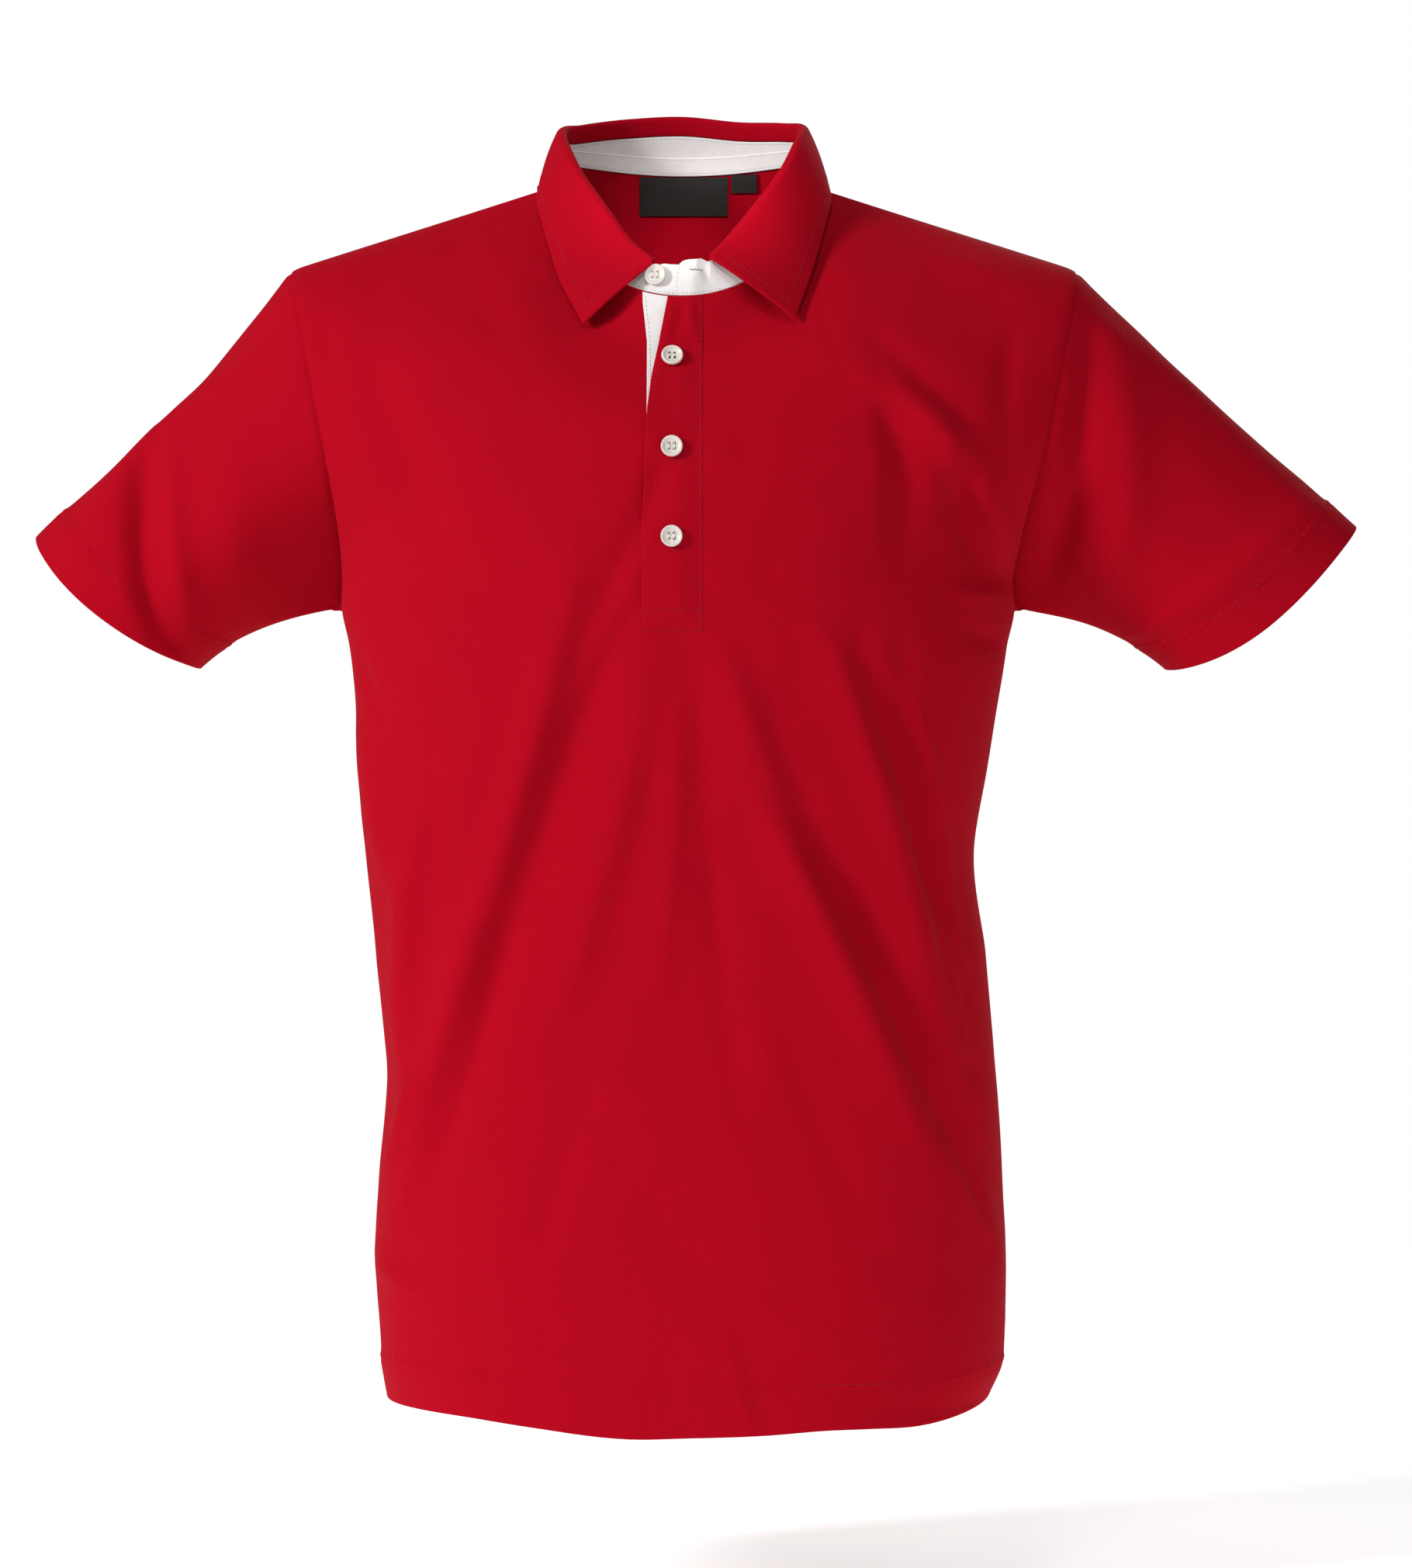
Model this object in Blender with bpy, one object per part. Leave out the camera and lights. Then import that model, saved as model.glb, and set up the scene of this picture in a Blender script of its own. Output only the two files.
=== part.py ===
"""Polo shirt of cotton pique, filled out as if worn, with short sleeves and a folded collar.

Metres, +Z up. The front faces -Y and the wearer's left is +X. The origin is on the centre plane,
midway between the two neck points of the shoulder seams, where the wearer's shoulders carry it.
Each cloth piece is a wall: a grid of outer points, worked out from the sections below, and the
same points moved in along normals that the pieces share at their seams.
"""

from collections import namedtuple

import bmesh
import bpy
import numpy as np
from mathutils import Vector
from mathutils.bvhtree import BVHTree

# Driving dimensions
CLOTH = 0.0014  # wall of the body, sleeves and plackets
RIB = 0.0018  # wall of the collar's flat knit
TWILL = 0.0010  # wall of the stand, tape and labels
SEAM_GAP = 0.0004  # between neighbours at a seam
LAYER_GAP = 0.0004

NECK_HALF = 0.077  # centre plane to a neck point
NECK_DROP_FRONT = 0.070
NECK_DEPTH_FRONT = 0.080
NECK_RISE_BACK = 0.0145
NECK_RISE_SIDE = 0.0070  # how much higher the back neckline is towards its ends
NECK_DEPTH_BACK = 0.057
NECK_ROUNDING_FRONT = 0.095  # how far below the neck the body has its full depth
NECK_ROUNDING_BACK = 0.070
SHOULDER_FALL = 0.32  # drop for each metre along the shoulder seam
TIP_Z = -0.047  # shoulder tip
UNDERARM_Z = -0.241
HEM_Z = -0.691
HEM_DIP = 0.010  # the front and back middle hang lower than the sides
HEM_SKEW = 0.009  # and the wearer's left half lower than the right one
ARMHOLE_RADIUS_Z = 0.5 * (TIP_Z - UNDERARM_Z)
ARMHOLE_DEPTH_FRONT = 0.060
ARMHOLE_DEPTH_BACK = 0.064
SIDE_ROUNDING = 0.050  # the sides are fully round this far below the underarm
SOFTENING = 0.20  # how fast the corner at a neck point fades down the panel, as a share of its width

PLACKET_LEFT = -0.022  # the side on the wearer's right
PLACKET_RIGHT = 0.0115
PLACKET_FOOT_Z = -0.258
SLIT_LEFT = -0.018
SLIT_RIGHT = 0.008
BUTTON_RADIUS = 0.0061
BUTTON_HEIGHT = 0.0026

# Grid of the body panels
ROWS_OVER_UNDERARM = 12
ROWS_UNDER = 20
NECK_COLUMNS = 6  # from the slit to a neck point
SHOULDER_COLUMNS = 8
SLEEVE_ROWS = 10
COLLAR_COLUMNS = 38

# Outline from the front: the distance from the centre plane to the armhole or side seam.
HalfWidth = namedtuple("HalfWidth", "z right left")
HALF_WIDTHS = (
    HalfWidth(-0.691, 0.1680, 0.1740),
    HalfWidth(-0.671, 0.1715, 0.1825),
    HalfWidth(-0.650, 0.1733, 0.1845),
    HalfWidth(-0.618, 0.1757, 0.1847),
    HalfWidth(-0.560, 0.1728, 0.1828),
    HalfWidth(-0.505, 0.1692, 0.1790),
    HalfWidth(-0.440, 0.1753, 0.1735),
    HalfWidth(-0.380, 0.1815, 0.1668),
    HalfWidth(-0.333, 0.1851, 0.1744),
    HalfWidth(-0.285, 0.1880, 0.1820),
    HalfWidth(-0.262, 0.1910, 0.1860),
    HalfWidth(-0.241, 0.1955, 0.1905),
    HalfWidth(-0.225, 0.1950, 0.1890),
    HalfWidth(-0.200, 0.1960, 0.1935),
    HalfWidth(-0.160, 0.2010, 0.2025),
    HalfWidth(-0.120, 0.2085, 0.2105),
    HalfWidth(-0.080, 0.2165, 0.2190),
    HalfWidth(-0.045, 0.2245, 0.2255),
)

# Outline from the side: how far the middle of the front and of the back stand off the shoulder line.
Depth = namedtuple("Depth", "z front back")
DEPTHS = (
    Depth(-0.702, 0.121, 0.110),
    Depth(-0.640, 0.119, 0.108),
    Depth(-0.560, 0.115, 0.103),
    Depth(-0.480, 0.112, 0.096),
    Depth(-0.400, 0.113, 0.094),
    Depth(-0.320, 0.118, 0.100),
    Depth(-0.260, 0.122, 0.110),
    Depth(-0.200, 0.121, 0.115),
    Depth(-0.150, 0.114, 0.113),
    Depth(-0.100, 0.098, 0.104),
    Depth(-0.060, 0.084, 0.092),
    Depth(0.012, 0.070, 0.070),
)

# The largest folds, each along a curve through three points of its panel as seen from the front.
# A skew over 0 makes the side to the left of the path steep.
Fold = namedtuple("Fold", "panel start middle end width height skew", defaults=(0.0,))
FOLDS = (
    Fold("front", (0.024, -0.270), (0.067, -0.385), (0.160, -0.586), 0.013, 0.0055, 0.25),
    Fold("front", (0.045, -0.335), (0.106, -0.441), (0.166, -0.580), 0.012, -0.0060, -0.25),
    Fold("front", (0.082, -0.265), (0.117, -0.362), (0.155, -0.490), 0.011, 0.0050, 0.25),
    Fold("front", (0.098, -0.272), (0.132, -0.370), (0.160, -0.498), 0.010, -0.0055, -0.25),
    Fold("front", (-0.060, -0.225), (-0.093, -0.362), (-0.150, -0.535), 0.013, 0.0050, 0.30),
    Fold("front", (-0.036, -0.225), (-0.068, -0.345), (-0.126, -0.500), 0.014, -0.0040),
    Fold("front", (-0.018, -0.272), (-0.036, -0.363), (-0.075, -0.485), 0.013, 0.0035, 0.20),
    Fold("front", (-0.144, -0.350), (-0.155, -0.438), (-0.151, -0.525), 0.009, 0.0055),
    Fold("front", (-0.180, -0.315), (-0.170, -0.364), (-0.160, -0.404), 0.009, 0.0045),
    Fold("front", (0.106, -0.119), (0.150, -0.154), (0.182, -0.208), 0.011, 0.0060, -0.20),
    Fold("front", (0.112, -0.128), (0.121, -0.168), (0.120, -0.216), 0.010, -0.0045, -0.20),
    Fold("front", (0.160, -0.157), (0.160, -0.190), (0.174, -0.228), 0.009, -0.0060),
    Fold("front", (-0.180, -0.100), (-0.161, -0.147), (-0.143, -0.200), 0.014, -0.0035),
    Fold("back", (-0.110, -0.200), (-0.060, -0.330), (-0.120, -0.520), 0.016, -0.0050),
    Fold("back", (0.110, -0.210), (0.050, -0.350), (0.105, -0.500), 0.016, -0.0050),
    Fold("back", (-0.165, -0.290), (-0.140, -0.370), (-0.155, -0.470), 0.012, 0.0045),
    Fold("back", (0.165, -0.280), (0.140, -0.380), (0.160, -0.500), 0.012, 0.0045),
)

# A sleeve's cuff, seen from the front. Its front swings outwards by turn_back, in degrees, and a
# low_swing over 0 moves the swing to its low end.
Cuff = namedtuple(
    "Cuff", "name side top_x top_z low_x low_z y depth_radius turn_back low_swing top_bow low_bow"
)
CUFFS = (
    Cuff("sleeve_right", -1, 0.3722, -0.2003, 0.2795, -0.2748, 0.018, 0.052, 12.0, -0.05, -0.0060, 0.008),
    Cuff("sleeve_left", 1, 0.3880, -0.1945, 0.2795, -0.2759, 0.018, 0.047, 16.0, 0.45, -0.0016, 0.008),
)
SWING_POWER = 1.7

# Folds of a sleeve: along it from 0, the armhole, to 1, the cuff, and round it in degrees from its
# top edge, towards the front.
SleeveFold = namedtuple("SleeveFold", "sleeve start middle end width height skew", defaults=(0.0,))
SLEEVE_FOLDS = (
    SleeveFold("sleeve_right", (0.60, 30.0), (0.68, 72.0), (0.84, 130.0), 0.009, -0.0100, -0.30),
    SleeveFold("sleeve_right", (0.56, 40.0), (0.62, 78.0), (0.76, 130.0), 0.009, 0.0030, 0.30),
    SleeveFold("sleeve_right", (0.50, 12.0), (0.72, 34.0), (0.92, 60.0), 0.014, 0.0035),
    SleeveFold("sleeve_right", (0.30, 60.0), (0.42, 95.0), (0.50, 140.0), 0.018, 0.0025),
    SleeveFold("sleeve_left", (0.05, 40.0), (0.14, 95.0), (0.16, 140.0), 0.010, -0.0060),
    SleeveFold("sleeve_left", (0.16, 40.0), (0.32, 85.0), (0.42, 130.0), 0.013, 0.0040),
    SleeveFold("sleeve_left", (0.88, 20.0), (0.80, 80.0), (0.66, 145.0), 0.011, 0.0045, 0.20),
    SleeveFold("sleeve_right", (0.15, 250.0), (0.50, 270.0), (0.85, 290.0), 0.016, -0.0050),
    SleeveFold("sleeve_left", (0.15, 255.0), (0.50, 268.0), (0.85, 285.0), 0.016, -0.0050),
)

# The collar at stations round the neck, from the wearer's right, -1, past a shoulder seam, -0.5, over
# the middle of the back, 0, to the left, 1: where the fall folds over and where its free edge lies.
Station = namedtuple("Station", "at fold edge")
COLLAR_STATIONS = (
    Station(-0.933, (-0.0160, -0.076, -0.0490), (-0.0552, -0.0822, -0.0855)),
    Station(-0.847, (-0.0300, -0.063, -0.0360), (-0.0690, -0.0612, -0.0585)),
    Station(-0.767, (-0.0440, -0.052, -0.0160), (-0.0743, -0.0470, -0.0418)),
    Station(-0.683, (-0.0570, -0.038, 0.0030), (-0.0793, -0.0305, -0.0246)),
    Station(-0.600, (-0.0645, -0.022, 0.0180), (-0.0828, -0.0152, -0.0106)),
    Station(-0.500, (-0.0690, 0.002, 0.0320), (-0.0818, 0.0030, 0.0005)),
    Station(-0.320, (-0.0580, 0.027, 0.0388), (-0.0715, 0.0360, 0.0010)),
    Station(-0.157, (-0.0320, 0.044, 0.0442), (-0.0400, 0.0620, 0.0010)),
    Station(0.000, (0.0000, 0.049, 0.0462), (0.0000, 0.0680, 0.0010)),
    Station(0.157, (0.0320, 0.044, 0.0425), (0.0400, 0.0620, 0.0010)),
    Station(0.320, (0.0580, 0.027, 0.0398), (0.0715, 0.0360, 0.0010)),
    Station(0.500, (0.0690, 0.002, 0.0340), (0.0830, 0.0030, 0.0005)),
    Station(0.600, (0.0645, -0.022, 0.0220), (0.0841, -0.0149, -0.0106)),
    Station(0.683, (0.0570, -0.038, 0.0065), (0.0806, -0.0300, -0.0246)),
    Station(0.767, (0.0430, -0.052, -0.0135), (0.0763, -0.0465, -0.0417)),
    Station(0.847, (0.0275, -0.063, -0.0330), (0.0718, -0.0596, -0.0570)),
    Station(0.933, (0.0160, -0.076, -0.0465), (0.0628, -0.0810, -0.0825)),
)
COLLAR_LIP_BACK = 0.011  # how far the red turns in over the fold, above the stand
COLLAR_LIP_FRONT = 0.003
LIP_TAPER = 0.5  # the station from which it narrows
COLLAR_FOLD_RADIUS = 0.0022
COLLAR_CLEARANCE = 0.0022  # from the middle of the fall's wall to the panels
FALL_BULGE = 0.0025
STAND_START = -0.976  # the stand's end with the button, on the wearer's right
STAND_FINISH = 1.018  # its end with the buttonhole
STAND_ROUNDING = 0.03
STAND_DIP = 0.10  # how much lower it is in the middle of the front
TAPE_RISE = 0.0095  # above the seam
TAPE_DROP = 0.002  # below it, in the middle of the back
TAPE_END = 0.42  # its station, short of the shoulder seam

# The labels inside the back neck
Label = namedtuple("Label", "name left right top foot")
LABEL_GAP = 0.0008
LABELS = (
    Label("label_main", -0.0258, 0.0262, 0.0126, -0.0086),
    Label("label_size", 0.0285, 0.0435, 0.0136, 0.0038),
)

# The buttons, placed by height; the first is on the stand.
BUTTON_X = -0.0055
BUTTON_HEIGHTS = (-0.1046, -0.1560, -0.2055)
STAND_BUTTON = (-0.0147, -0.0575)

RED = (0.47, 0.004, 0.022)
WHITE = (0.80, 0.76, 0.74)
BLACK = (0.012, 0.013, 0.013)
PEARL = (0.78, 0.74, 0.68)


def clear_scene():
    for item in list(bpy.data.objects):
        bpy.data.objects.remove(item, do_unlink=True)


def material(name, colour, roughness):
    made = bpy.data.materials.new(name)
    made.use_nodes = True
    shader = made.node_tree.nodes["Principled BSDF"]
    shader.inputs["Base Color"].default_value = (*colour, 1.0)
    shader.inputs["Roughness"].default_value = roughness
    shader.inputs["Metallic"].default_value = 0.0
    return made


def unit(vectors):
    return vectors / np.maximum(np.linalg.norm(vectors, axis=-1, keepdims=True), 1e-12)


def smooth(at, knots, values):
    """A smooth curve through the values, held level past its ends."""
    knots = np.asarray(knots, float)
    values = np.asarray(values, float)
    slopes = np.gradient(values, knots, axis=0)
    at = np.clip(np.asarray(at, float), knots[0], knots[-1])
    k = np.clip(np.searchsorted(knots, at, side="right") - 1, 0, len(knots) - 2)
    span = knots[k + 1] - knots[k]
    t = (at - knots[k]) / span
    if values.ndim > 1:
        t = t[..., None]
        span = span[..., None]
    return (
        (2 * t**3 - 3 * t**2 + 1) * values[k]
        + (t**3 - 2 * t**2 + t) * span * slopes[k]
        + (3 * t**2 - 2 * t**3) * values[k + 1]
        + (t**3 - t**2) * span * slopes[k + 1]
    )


def half_width(z, left):
    """Half of the outline at a height, on the wearer's left or right."""
    knots = [row.z for row in HALF_WIDTHS]
    on_left = smooth(z, knots, [row.left for row in HALF_WIDTHS])
    on_right = smooth(z, knots, [row.right for row in HALF_WIDTHS])
    return np.where(left, on_left, on_right)


def quadratic(start, middle, end, count=28):
    """Points along the curve that leaves start, passes through middle and ends at end."""
    start, middle, end = (np.array(p, float) for p in (start, middle, end))
    control = 2 * middle - 0.5 * (start + end)
    t = np.linspace(0, 1, count)[:, None]
    return (1 - t) ** 2 * start + 2 * t * (1 - t) * control + t**2 * end


def fold_height(fold, places):
    """The height of one fold at places of its surface, as a soft ridge that fades at its ends."""
    path = quadratic(fold.start, fold.middle, fold.end)
    best = np.full(places.shape[:-1], np.inf)
    along = np.zeros_like(best)
    side = np.zeros_like(best)
    for k, (a, b) in enumerate(zip(path, path[1:])):
        run = b - a
        away = places - a
        t = np.clip(away @ run / (run @ run), 0, 1)
        rest = away - t[..., None] * run
        distance = np.linalg.norm(rest, axis=-1)
        nearer = distance < best
        best = np.where(nearer, distance, best)
        along = np.where(nearer, (k + t) / (len(path) - 1), along)
        side = np.where(nearer, np.sign(run[0] * rest[..., 1] - run[1] * rest[..., 0]), side)
    fade = np.sin(np.pi * np.clip(0.06 + 0.88 * along, 0, 1)) ** 0.8
    width = fold.width * (1 - fold.skew * side)
    return fold.height * fade * np.exp(-((best / width) ** 2))


def columns():
    """Across a panel, at its top and at its foot: -1 and 1 are its edges, 0 is the centre."""
    top_width = HALF_WIDTHS[-1].left
    neck = NECK_HALF / top_width
    power = 0.8

    def half(first):
        start = np.arcsin(min(1.0, first / neck))
        neck_part = neck * np.sin(np.linspace(start, np.pi / 2, NECK_COLUMNS + 1))
        shoulder_part = np.linspace(neck, 1.0, SHOULDER_COLUMNS + 1)[1:]
        top = np.concatenate([neck_part, shoulder_part])
        turn = np.linspace(np.arcsin(first ** (1 / power)), np.pi / 2, len(top))
        return top, np.sin(turn) ** power

    right_top, right_foot = half(-SLIT_LEFT / top_width)
    left_top, left_foot = half(SLIT_RIGHT / top_width)
    top = np.concatenate([-right_top[::-1], left_top])
    foot = np.concatenate([-right_foot[::-1], left_foot])
    return top, foot, neck


def rows():
    """Down a panel: 0 is its top edge, 1 the level of the underarm, 2 the hem."""
    over = 0.5 * (1 - np.cos(np.pi * np.linspace(0, 1, ROWS_OVER_UNDERARM + 1)))
    foot = (UNDERARM_Z - PLACKET_FOOT_Z) / (UNDERARM_Z - HEM_Z)
    under = 1 + np.linspace(foot, 1, ROWS_UNDER)
    return np.concatenate([over, under])


def top_edge(face, u, neck):
    """The depth and height of a panel's top edge: the neckline, and the shoulder seams outside it."""
    s = np.clip(np.abs(u) / neck, 0, 1)
    opening = np.sqrt(1 - s**2)
    outside = np.maximum(np.abs(u) / neck - 1, 0) * NECK_HALF
    if face == "front":
        height = np.where(s < 1, -NECK_DROP_FRONT * opening**1.1, -SHOULDER_FALL * outside)
        return -NECK_DEPTH_FRONT * opening, height
    rise = (NECK_RISE_BACK + NECK_RISE_SIDE * s**2) * opening**0.3
    height = np.where(s < 1, rise, -SHOULDER_FALL * outside)
    return NECK_DEPTH_BACK * opening, height


def softened_edge(face, top, neck, v):
    """The top edge as each row follows it: exact at the edge itself, and softer further down."""
    fine = np.linspace(-1, 1, 401)
    exact = top_edge(face, top, neck)
    along = top_edge(face, fine, neck)
    inside = np.clip((1 - np.abs(top)) / (1 - neck), 0, 1)
    found = ([exact[0]], [exact[1]])
    for spread in SOFTENING * np.sqrt(v[1:]):
        weights = np.exp(-0.5 * ((top[:, None] - fine) / spread) ** 2)
        weights /= weights.sum(axis=1, keepdims=True)
        for k in (0, 1):
            found[k].append(exact[k] + (weights @ along[k] - exact[k]) * inside)
    return np.array(found[0]), np.array(found[1])


def base_panel(face):
    """Points of a body panel without its folds: an array of rows and columns."""
    top, foot, neck = columns()
    v = rows()[:, None]
    blend = np.clip(v - 0.15, 0, 0.85) / 0.85
    blend = blend**2 * (3 - 2 * blend)
    u = (1 - blend) * top[None, :] + blend * foot[None, :]

    y_top, z_top = softened_edge(face, top, neck, rows())

    # Heights: rows follow the top edge and level out at the underarm.
    ease = np.clip(1 - v, 0, 1)
    over = TIP_Z + (UNDERARM_Z - TIP_Z) * np.minimum(v, 1) + (z_top - TIP_Z) * ease
    hem = HEM_Z - HEM_DIP * (1 - np.abs(u) ** 2.2) - HEM_SKEW * u * (1 - u**2)
    under = np.clip(v - 1, 0, 1)
    z = np.where(v <= 1, over, UNDERARM_Z + (hem - UNDERARM_Z) * under)

    x = u * half_width(z, u > 0)

    # Depths: the middle of the panel, and its edge, which is the armhole and then the side seam.
    knots = [row.z for row in DEPTHS]
    middle = smooth(z, knots, [getattr(row, face) for row in DEPTHS])
    armhole_middle = TIP_Z - ARMHOLE_RADIUS_Z
    depth = ARMHOLE_DEPTH_FRONT if face == "front" else ARMHOLE_DEPTH_BACK
    low = np.clip((armhole_middle - z) / ARMHOLE_RADIUS_Z, 0, 1)
    edge = depth * (1 - low**2) ** 1.6
    flat = np.clip((z - UNDERARM_Z + SIDE_ROUNDING) / (ARMHOLE_RADIUS_Z + SIDE_ROUNDING), 0, 1)
    sharp = 0.40 + 0.60 * flat**2 * (3 - 2 * flat)
    across = np.clip(1 - np.abs(u) ** 2.5, 0, 1) ** sharp
    full = edge + (middle - edge) * across

    # Rounding: an even slope away from the neck, and a round shoulder towards its tip.
    along_shoulder = np.clip((np.abs(top) - neck) / (1 - neck), 0, 1)[None, :]
    neck_span = NECK_ROUNDING_FRONT if face == "front" else NECK_ROUNDING_BACK
    span = neck_span + (ARMHOLE_RADIUS_Z - neck_span) * along_shoulder
    down = np.clip((z_top - z) / span, 0, 1)
    soft = np.sin(0.5 * np.pi * down)
    ridge = np.sqrt(1 - (1 - down) ** 2)
    round_share = along_shoulder**2 * (3 - 2 * along_shoulder)
    rise = round_share * ridge + (1 - round_share) * soft
    sign = -1 if face == "front" else 1
    y = y_top + (sign * full - y_top) * rise
    return np.stack([x, y, z], axis=-1)


def grid_normals(points, outward, ring=False):
    """Normals of a grid, all turned to the side that outward gives for most of its points."""
    if ring:
        around = np.roll(points, -1, axis=1) - np.roll(points, 1, axis=1)
    else:
        around = np.gradient(points, axis=1)
    down = np.gradient(points, axis=0)
    normals = unit(np.cross(down, around))
    return normals * np.sign((normals * outward).sum())


def panel_outward(points):
    """A rough outward direction for a body panel: away from a line down the middle of the body."""
    middle = points.copy()
    middle[..., 0] *= 0.55
    middle[..., 1] = 0
    middle[..., 2] = np.minimum(middle[..., 2], -0.10)
    return points - middle


def folded_panel(face):
    points = base_panel(face)
    normals = grid_normals(points, panel_outward(points))
    height = np.zeros(points.shape[:2])
    for fold in FOLDS:
        if fold.panel == face:
            height += fold_height(fold, points[..., [0, 2]])
    # Folds fade at the seams, so neighbours still share their points.
    count = points.shape[1] - 1
    across = np.abs(2 * np.arange(count + 1) / count - 1)
    down = np.clip(np.arange(points.shape[0]) / 3, 0, 1)
    height *= (1 - across**10)[None, :] * down[:, None]
    return points + normals * height[..., None]


def armhole(front, back, side):
    """The armhole's loop of points: from the shoulder tip down the front and up the back."""
    column = 0 if side < 0 else -1
    down = front[: ROWS_OVER_UNDERARM + 1, column]
    up = back[1:ROWS_OVER_UNDERARM, column][::-1]
    return np.concatenate([down, up])


def sleeve_points(cuff, loop):
    """Rings of a sleeve from the armhole to the cuff, each from the top edge round by the front."""
    count = len(loop)
    angle = 2 * np.pi * np.arange(count) / count
    top = np.array([cuff.side * cuff.top_x, 0, cuff.top_z])
    low = np.array([cuff.side * cuff.low_x, 0, cuff.low_z])
    centre = 0.5 * (top + low) + np.array([0, cuff.y, 0])
    across = unit(top - low)
    radius = 0.5 * np.linalg.norm(top - low)
    run = np.array([-across[2], 0, across[0]])
    run = run if run[2] < 0 else -run
    turn = np.radians(cuff.turn_back)
    to_front = np.sin(angle)
    swing = np.sign(to_front) * np.abs(to_front) ** SWING_POWER * (1 - cuff.low_swing * np.cos(angle))
    rim = (
        centre
        + radius * np.cos(angle)[:, None] * across
        - cuff.depth_radius * np.cos(turn) * to_front[:, None] * np.array([0, 1, 0])
        + cuff.depth_radius * np.sin(turn) * swing[:, None] * run
    )
    s = np.linspace(0, 1, SLEEVE_ROWS + 1)[:, None, None]
    points = loop + (rim - loop) * s
    # The top edge bows in most near the armhole, the low edge halfway.
    bow = 4 * s[..., 0] * (1 - s[..., 0])
    early = 8.9 * s[..., 0] ** 1.4 * (1 - s[..., 0]) ** 1.8
    outer = np.clip(np.cos(angle), 0, 1)[None, :] * cuff.top_bow * early
    inner = np.clip(-np.cos(angle), 0, 1)[None, :] * cuff.low_bow * bow
    return points + (outer + inner)[..., None] * across


def sleeve_outward(points):
    return points - points.mean(axis=1, keepdims=True)


def folded_sleeve(cuff, loop):
    points = sleeve_points(cuff, loop)
    normals = grid_normals(points, sleeve_outward(points), ring=True)
    count = len(loop)
    s = np.linspace(0, 1, SLEEVE_ROWS + 1)[:, None] * np.ones((1, count))
    degrees = (360 * np.arange(count) / count)[None, :] * np.ones((SLEEVE_ROWS + 1, 1))
    # Both coordinates as lengths, so that a fold has one width: the sleeve's length and its turn.
    length = np.linalg.norm(points[-1] - points[0], axis=-1).mean()
    girth = 0.36 / 360
    places = np.stack([s * length, degrees * girth], axis=-1)
    height = np.zeros(points.shape[:2])
    for fold in SLEEVE_FOLDS:
        if fold.sleeve == cuff.name:
            scaled = fold._replace(
                start=(fold.start[0] * length, fold.start[1] * girth),
                middle=(fold.middle[0] * length, fold.middle[1] * girth),
                end=(fold.end[0] * length, fold.end[1] * girth),
            )
            height += fold_height(scaled, places)
    height[0] = 0
    return points + normals * height[..., None]


def share(normals_a, key_a, normals_b, key_b):
    """Gives two pieces the same normals along the seam where they meet."""
    both = unit(normals_a[key_a] + normals_b[key_b])
    normals_a[key_a] = both
    normals_b[key_b] = both


def ease_back(points, edge, amount):
    """Moves a grid's edge into the piece by half of the seam gap."""
    outer, inner = edge
    points[outer] += amount * unit(points[inner] - points[outer])


def link(name, mesh, finish):
    made = bpy.data.objects.new(name, mesh)
    made.data.materials.append(finish)
    collection.objects.link(made)
    return made


def wall(name, outer, inner, finish, ring=False, skip=()):
    """A closed wall between two grids of points, with a rim round every open edge."""
    count_down, count_across = outer.shape[:2]
    steps = count_across if ring else count_across - 1

    def at(i, j):
        return i * count_across + j % count_across

    quads = [
        (at(i, j), at(i + 1, j), at(i + 1, j + 1), at(i, j + 1))
        for i in range(count_down - 1)
        for j in range(steps)
        if (i, j) not in skip
    ]
    total = count_down * count_across
    directed = {(q[k], q[(k + 1) % 4]) for q in quads for k in range(4)}
    rims = [(b, a, a + total, b + total) for a, b in sorted(directed) if (b, a) not in directed]
    backs = [tuple(v + total for v in reversed(q)) for q in quads]
    mesh = bpy.data.meshes.new(name)
    points = np.concatenate([outer.reshape(-1, 3), inner.reshape(-1, 3)])
    mesh.from_pydata(points.tolist(), [], quads + backs + rims)
    form = bmesh.new()
    form.from_mesh(mesh)
    loose = [v for v in form.verts if not v.link_faces]
    bmesh.ops.delete(form, geom=loose, context="VERTS")
    bmesh.ops.recalc_face_normals(form, faces=form.faces[:])
    form.to_mesh(mesh)
    form.free()
    mesh.shade_smooth()
    mesh.set_sharp_from_angle(angle=np.radians(50))
    return link(name, mesh, finish)


def slit():
    """The one column of the front panel that the placket's slit leaves out, as grid places."""
    column = NECK_COLUMNS + SHOULDER_COLUMNS
    return {(i, column) for i in range(ROWS_OVER_UNDERARM)}


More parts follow.
